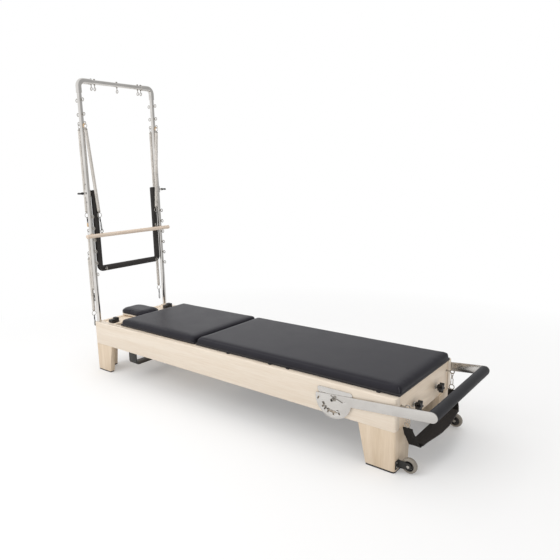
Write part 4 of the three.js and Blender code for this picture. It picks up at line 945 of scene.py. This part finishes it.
def ribbon(bm, length, shape, thickness, across=10, along=90, rim=0.0):
    """A strip of cloth with its own UV in metres: shape(s, w) places each point, with s along
    the strip from 0 to length and w from -1 to 1 over its width."""
    part = bmesh.new()
    uv = part.loops.layers.uv.new("weave")
    bmesh.ops.create_grid(part, x_segments=along, y_segments=across, size=1)
    flat = {vertex: (vertex.co.x, vertex.co.y) for vertex in part.verts}
    for face in part.faces:
        for loop in face.loops:
            u, w = flat[loop.vert]
            loop[uv].uv = ((u + 1) / 2 * length * MM, w * STRAP_WIDTH / 2 * MM)
    for vertex, (u, w) in flat.items():
        vertex.co = shape((u + 1) / 2 * length, w)
    bmesh.ops.recalc_face_normals(part, faces=part.faces)
    bmesh.ops.solidify(part, geom=part.faces, thickness=thickness)
    if rim:
        edges = [edge for edge in part.edges if edge.calc_face_angle(0) > 1.0]
        round_edges(part, edges, rim, 4)
    join(bm, part)


strap_line = bent_path([(0, -STRAP_EYE[1], STRAP_TOP), (0, -STRAP_FOOT, STRAP_FLOOR),
                        (0, STRAP_FOOT, STRAP_FLOOR), (0, STRAP_EYE[1], STRAP_TOP)], STRAP_BEND, 10)
strap_steps = [0.0]
for here, after in zip(strap_line, strap_line[1:]):
    strap_steps.append(strap_steps[-1] + (after - here).length)
STRAP_LENGTH = strap_steps[-1]


def on_strap(distance):
    """The strap's line at a distance from its near end: place and the normal to its face."""
    distance = max(0.0, min(STRAP_LENGTH, distance))
    i = max(k for k in range(len(strap_steps) - 1) if strap_steps[k] <= distance)
    share = (distance - strap_steps[i]) / (strap_steps[i + 1] - strap_steps[i])
    here, after = strap_line[i], strap_line[i + 1]
    along = (after - here).normalized()
    return here.lerp(after, share), Vector((0, -along.z, along.y))


def strap_face(distance, w):
    """The strap's own face, which widens from either end and bows a little over its width."""
    place, normal = on_strap(distance)
    share = smooth_step(min(distance, STRAP_LENGTH - distance) / STRAP_WIDENING)
    middle = STRAP_EYE[0] + 4 + (STRAP_MIDDLE - STRAP_EYE[0] - 4) * share
    half = STRAP_END_HALF + (STRAP_WIDTH / 2 - STRAP_END_HALF) * smooth_step(share * 2.5)
    return Vector((middle + w * half, place.y, place.z)) - normal * 1.2 * w * w


def cover_face(distance, w):
    """The padded cover round the strap's middle: wide at its middle, thin at its edges."""
    place, normal = on_strap(distance + (STRAP_LENGTH - COVER_LENGTH) / 2)
    share = smooth_step((0.5 - abs(distance / COVER_LENGTH - 0.5)) * 2.3)
    half = (STRAP_WIDTH + 8 + (COVER_WIDTH - STRAP_WIDTH - 8) * share) / 2
    middle = COVER_INNER + half
    return Vector((middle + w * half, place.y, place.z)) + normal * 1.5


strap = bmesh.new()
ribbon(strap, STRAP_LENGTH, strap_face, 2.4)
for end in (0, 1):
    # The end is folded over the ring and sewn down on the outer face
    def folded(distance, w, end=end):
        distance = STRAP_LENGTH - distance if end else distance
        return strap_face(distance, w) - on_strap(distance)[1] * 3.2
    ribbon(strap, STRAP_FOLD, folded, 2.2, along=12)
stand_in("foot_strap", "webbing", strap, "foot_strap", webbing)
cover = bmesh.new()
ribbon(cover, COVER_LENGTH, cover_face, 9.0, across=20, along=80, rim=3.5)
piece("foot_strap_cover", cover, "foot_strap", cover_cloth, smooth=60)


# Footbar

PIVOT_X, PIVOT_Z, ARM_TILT, ARM_LENGTH = 860, 290, math.radians(5), 490
BAR_END_X = PIVOT_X + ARM_LENGTH * math.cos(ARM_TILT)
BAR_END_Z = PIVOT_Z + ARM_LENGTH * math.sin(ARM_TILT)
FOAM_RADIUS = 26
low, high = box_mm("footbar_foam")
half = high.y
roll = bmesh.new()
turn(roll, mirrored([(15.4, -half), (23, -half), (25.1, -half + 0.9), (FOAM_RADIUS, -half + 3)]),
     (BAR_END_X, 0, BAR_END_Z), "y", 64, closed=True)
stand_in("footbar_foam", "sleeve", roll, "footbar", foam)
low, high = box_mm("footbar_tube")
tube = bmesh.new()
rod(tube, "y", 15, low.y, high.y, (BAR_END_X, 0, BAR_END_Z), steps=48)
stand_in("footbar_tube", "smooth", tube, "footbar", chrome)

CHANNEL, CHANNEL_ANGLES = (55, 70), (199, 296)  # radii, and degrees from the arm, about the pivot
NOTCH_ANGLES, NOTCH_REACH, NOTCH_RADIUS = (215, 227, 243, 267, 292.5), 80, 4.6
PIVOT_BOSS, PIVOT_BORE, PIVOT_STAND = 9.5, 6.4, 13
PLATE_LOW, PLATE_TAPER = 30, 0.6
ARM_MIDDLE, ARM_FACE = 352.7, 355.9


def quadrant_cutters(side):
    """The curved channel and its notches, as solids that run through the arm."""
    low, high = CHANNEL
    start, end = (math.radians(angle) for angle in CHANNEL_ANGLES)
    tool = bmesh.new()
    bmesh.ops.create_grid(tool, x_segments=1, y_segments=1, size=1)
    for vertex in tool.verts:
        vertex.co = ((low + high) / 2 + (high - low) / 2 * vertex.co.x, 10 * vertex.co.y, 0)
    bmesh.ops.rotate(tool, verts=tool.verts, cent=(0, 0, 0), matrix=Matrix.Rotation(-start, 3, "Y"))
    bmesh.ops.spin(tool, geom=[*tool.verts, *tool.edges, *tool.faces], cent=(0, 0, 0),
                   axis=(0, 1, 0), angle=start - end, steps=24, use_merge=False,
                   use_duplicate=False)
    bmesh.ops.recalc_face_normals(tool, faces=tool.faces)
    for degrees in NOTCH_ANGLES:
        for reach in (high - 3, high + 2, NOTCH_REACH - NOTCH_RADIUS):
            x, z = polar(reach, math.radians(degrees))
            rod(tool, "y", NOTCH_RADIUS, -11, 11, (x, 0, z), ease=0.1, steps=20)
    shift(tool, Matrix.Translation((PIVOT_X, side * ARM_MIDDLE, PIVOT_Z))
          @ Matrix.Rotation(-ARM_TILT, 4, "Y"))
    return tool


for side_name, side in SIDES:
    arm, gear_plate = f"footbar_arm_{side_name}", f"gear_plate_{side_name}"
    stand_in(arm, "cut", bored(eased(arm, 0.5), quadrant_cutters(side)), "footbar",
             plate)
    # The plate keeps its pin and bolt, but the bolt's head gives way to an open boss, and the
    # plate narrows toward its lower edge, so that the quadrant covers it.
    cutters = bmesh.new()
    rod(cutters, "y", 17, side * ARM_FACE, side * 370, (PIVOT_X, 0, PIVOT_Z), ease=0.2)
    gear = bored(eased(gear_plate, 0.5), cutters)
    for vertex in gear.verts:
        if vertex.co.z < PIVOT_Z - PLATE_LOW and abs(vertex.co.y) < ARM_FACE:
            vertex.co.x = PIVOT_X + (vertex.co.x - PIVOT_X) * PLATE_TAPER
    way = "y" if side > 0 else "-y"
    turn(gear, [(0, -0.8), (PIVOT_BOSS, -0.8), (PIVOT_BOSS, PIVOT_STAND - 0.8),
                (PIVOT_BOSS - 0.8, PIVOT_STAND), (PIVOT_BORE + 0.5, PIVOT_STAND),
                (PIVOT_BORE, PIVOT_STAND - 0.5), (PIVOT_BORE, 3), (0, 3)],
         (PIVOT_X, side * ARM_FACE, PIVOT_Z), way, 36, 1)
    # A black nylon disc at the floor of the boss's bore is painted shade that darkens the open
    # bore.
    turn(gear, [(0, 2.6), (PIVOT_BORE - 0.1, 2.6), (PIVOT_BORE - 0.1, 5), (0, 5)],
         (PIVOT_X, side * ARM_FACE, PIVOT_Z), way, 24, 2)
    stand_in(gear_plate, "cut", gear, "frame", [plate, zinc, nylon])


# Transport wheels

WHEEL_X, WHEEL_Y, WHEEL_Z, WHEEL_RADIUS, WHEEL_HALF = 1230, 294, 40, 37.5, 12
HUB_HALF, HUB_STUDS, STUD_REACH = 13, 8, 17
for side_name, side in SIDES:
    centre = (WHEEL_X, side * WHEEL_Y, WHEEL_Z)
    wheel = bmesh.new()
    tread = [(25, -WHEEL_HALF), (28, -WHEEL_HALF), (28.8, -WHEEL_HALF + 1), (31, -WHEEL_HALF + 1.2),
             (34.2, -WHEEL_HALF + 2.4), (36.6, -WHEEL_HALF + 5), (WHEEL_RADIUS, -4)]
    turn(wheel, mirrored(tread), centre, "y", 64, closed=True)
    hub = [(5.4, -HUB_HALF), (11, -HUB_HALF), (12, -HUB_HALF + 1), (12.5, -5), (21, -5),
           (23, -WHEEL_HALF + 1), (25.3, -WHEEL_HALF + 0.6)]
    turn(wheel, mirrored(hub), centre, "y", 48, 1, closed=True)
    for k in range(HUB_STUDS):
        x, z = polar(STUD_REACH, math.tau * k / HUB_STUDS)
        for way, facing in (("y", 1), ("-y", -1)):
            turn(wheel, [(0, 2.6), (1.6, 2.2), (2.4, 0.8), (2.4, -1.5), (0, -1.5)],
                 Vector(centre) + Vector((x, facing * 6, z)), way, 10, 2)
    stand_in(f"transport_wheel_{side_name}", "cast", wheel, f"wheel_{side_name}",
             [tyre, nylon, zinc])
    bracket = eased(f"wheel_bracket_{side_name}", 0.5)
    for face in bracket.faces:
        centre = face.calc_center_median()
        face.material_index = int(abs(abs(centre.y) - WHEEL_Y) > 16.6 and centre.x > WHEEL_X - 9.5)
    for z in (WHEEL_Z + 11, WHEEL_Z - 11):
        turn(bracket, [(0, 2.6), (2, 2.4), (4, 1.4), (4.8, -0.3), (0, -0.3)],
             (1183.3, side * 325, z), "x", 20, 1)
    turn(bracket, [(0, 3), (3, 2.6), (5, 1.2), (5.6, -0.5), (0, -0.5)],
         (WHEEL_X, side * 314.4, WHEEL_Z), "y" if side > 0 else "-y", 24, 1)
    stand_in(f"wheel_bracket_{side_name}", "coated", bracket, "frame",
             [powder_coat, zinc])


# Studio: pale floor that fades to white, white surroundings and soft lamps

WHITE = (1.0, 1.0, 1.0, 1.0)
DARK_WAY = (0.8, 0.6, 0.0)  # beyond the far corner of the foot end


def dimmed(tree, direction):
    """Full strength, but half as much toward the dark way, in what metal and gloss see."""
    toward = add(tree, "VectorMath", {0: direction, 1: DARK_WAY}, "Value", operation="DOT_PRODUCT")
    return add(tree, "MapRange", {"Value": toward, "From Min": -0.1, "From Max": 0.6, "To Min": 1.0,
                                  "To Max": 0.5}, interpolation_type="SMOOTHSTEP")


def most(tree, one, other):
    """The larger of two numbers."""
    return add(tree, "Math", {0: one, 1: other}, operation="MAXIMUM")


def studio_light(tree, direction):
    """The rays' kinds, whether the camera or gloss looks, and how bright the studio is to them."""
    rays = add(tree, "LightPath").node.outputs
    seen = most(tree, rays["Is Camera Ray"], rays["Is Glossy Ray"])
    return rays, seen, most(tree, dimmed(tree, direction), rays["Is Camera Ray"])


world = bpy.data.worlds.new("studio")
scene.world = world
world.use_nodes = True
tree = world.node_tree
tree.nodes.clear()
rays, seen, strength = studio_light(tree, add(tree, "TexCoord", output="Generated"))
seen = most(tree, seen, rays["Is Transmission Ray"])
soft = add(tree, "Background", {"Color": (1.0, 0.995, 0.99, 1.0), "Strength": 0.81})
white = add(tree, "Background", {"Color": WHITE, "Strength": strength})
shown = add(tree, "MixShader", {0: seen, 1: soft, 2: white})
tree.links.new(shown, tree.nodes.new("ShaderNodeOutputWorld").inputs["Surface"])

sheet = bmesh.new()
bmesh.ops.create_grid(sheet, x_segments=1, y_segments=1, size=60)
floor = linked("floor", as_mesh(sheet, "floor"))
made, tree, shader = surface("pale_floor", Roughness=0.9, Specular_IOR_Level=0.1)
shader.inputs["Base Color"].default_value = colour("#f4f4f4")
place = add(tree, "TexCoord", output="Object")
reach = add(tree, "VectorMath", {0: place}, "Value", operation="LENGTH")
# Near the object a fifth of the floor is white glow to the camera and gloss: painted light that
# lifts the object's shadow. Farther out the glow grows to a plain white backdrop.
fade = add(tree, "MapRange", {"Value": reach, "From Min": 1.7, "From Max": 3.4,
                              "To Min": 0.2, "To Max": 1.0})
# The far floor is as dark to metal and gloss as the studio above it
direction = add(tree, "VectorMath", {0: place}, operation="NORMALIZE")
_, seen, strength = studio_light(tree, direction)
glow = add(tree, "Emission", {"Color": WHITE, "Strength": strength})
backdrop_and_fill_glow = add(tree, "Math", {0: fade, 1: seen}, operation="MULTIPLY")
blended = add(tree, "MixShader", {0: backdrop_and_fill_glow, 1: shader.outputs[0], 2: glow})
tree.links.new(blended, tree.nodes["Material Output"].inputs["Surface"])
floor.data.materials.append(made)


def lamp(name, place, aim, size, power, tint=(1.0, 1.0, 1.0)):
    """A large soft lamp at a place, aimed at a point."""
    data = bpy.data.lights.new(name, "AREA")
    data.shape, data.size, data.energy, data.color = "SQUARE", size, power, tint
    made = linked(name, data)
    facing = (Vector(aim) - Vector(place)).to_track_quat("-Z", "Y")
    made.matrix_world = Matrix.Translation(place) @ facing.to_matrix().to_4x4()
    made.visible_camera = False
    made.visible_glossy = False


lamp("key", (-1.6, -4.2, 4.2), (0, 0, 0.4), 3.5, 88, (1.0, 0.995, 0.99))
lamp("top", (-0.6, 0.3, 5.0), (0.0, 0, 0), 4.0, 56)
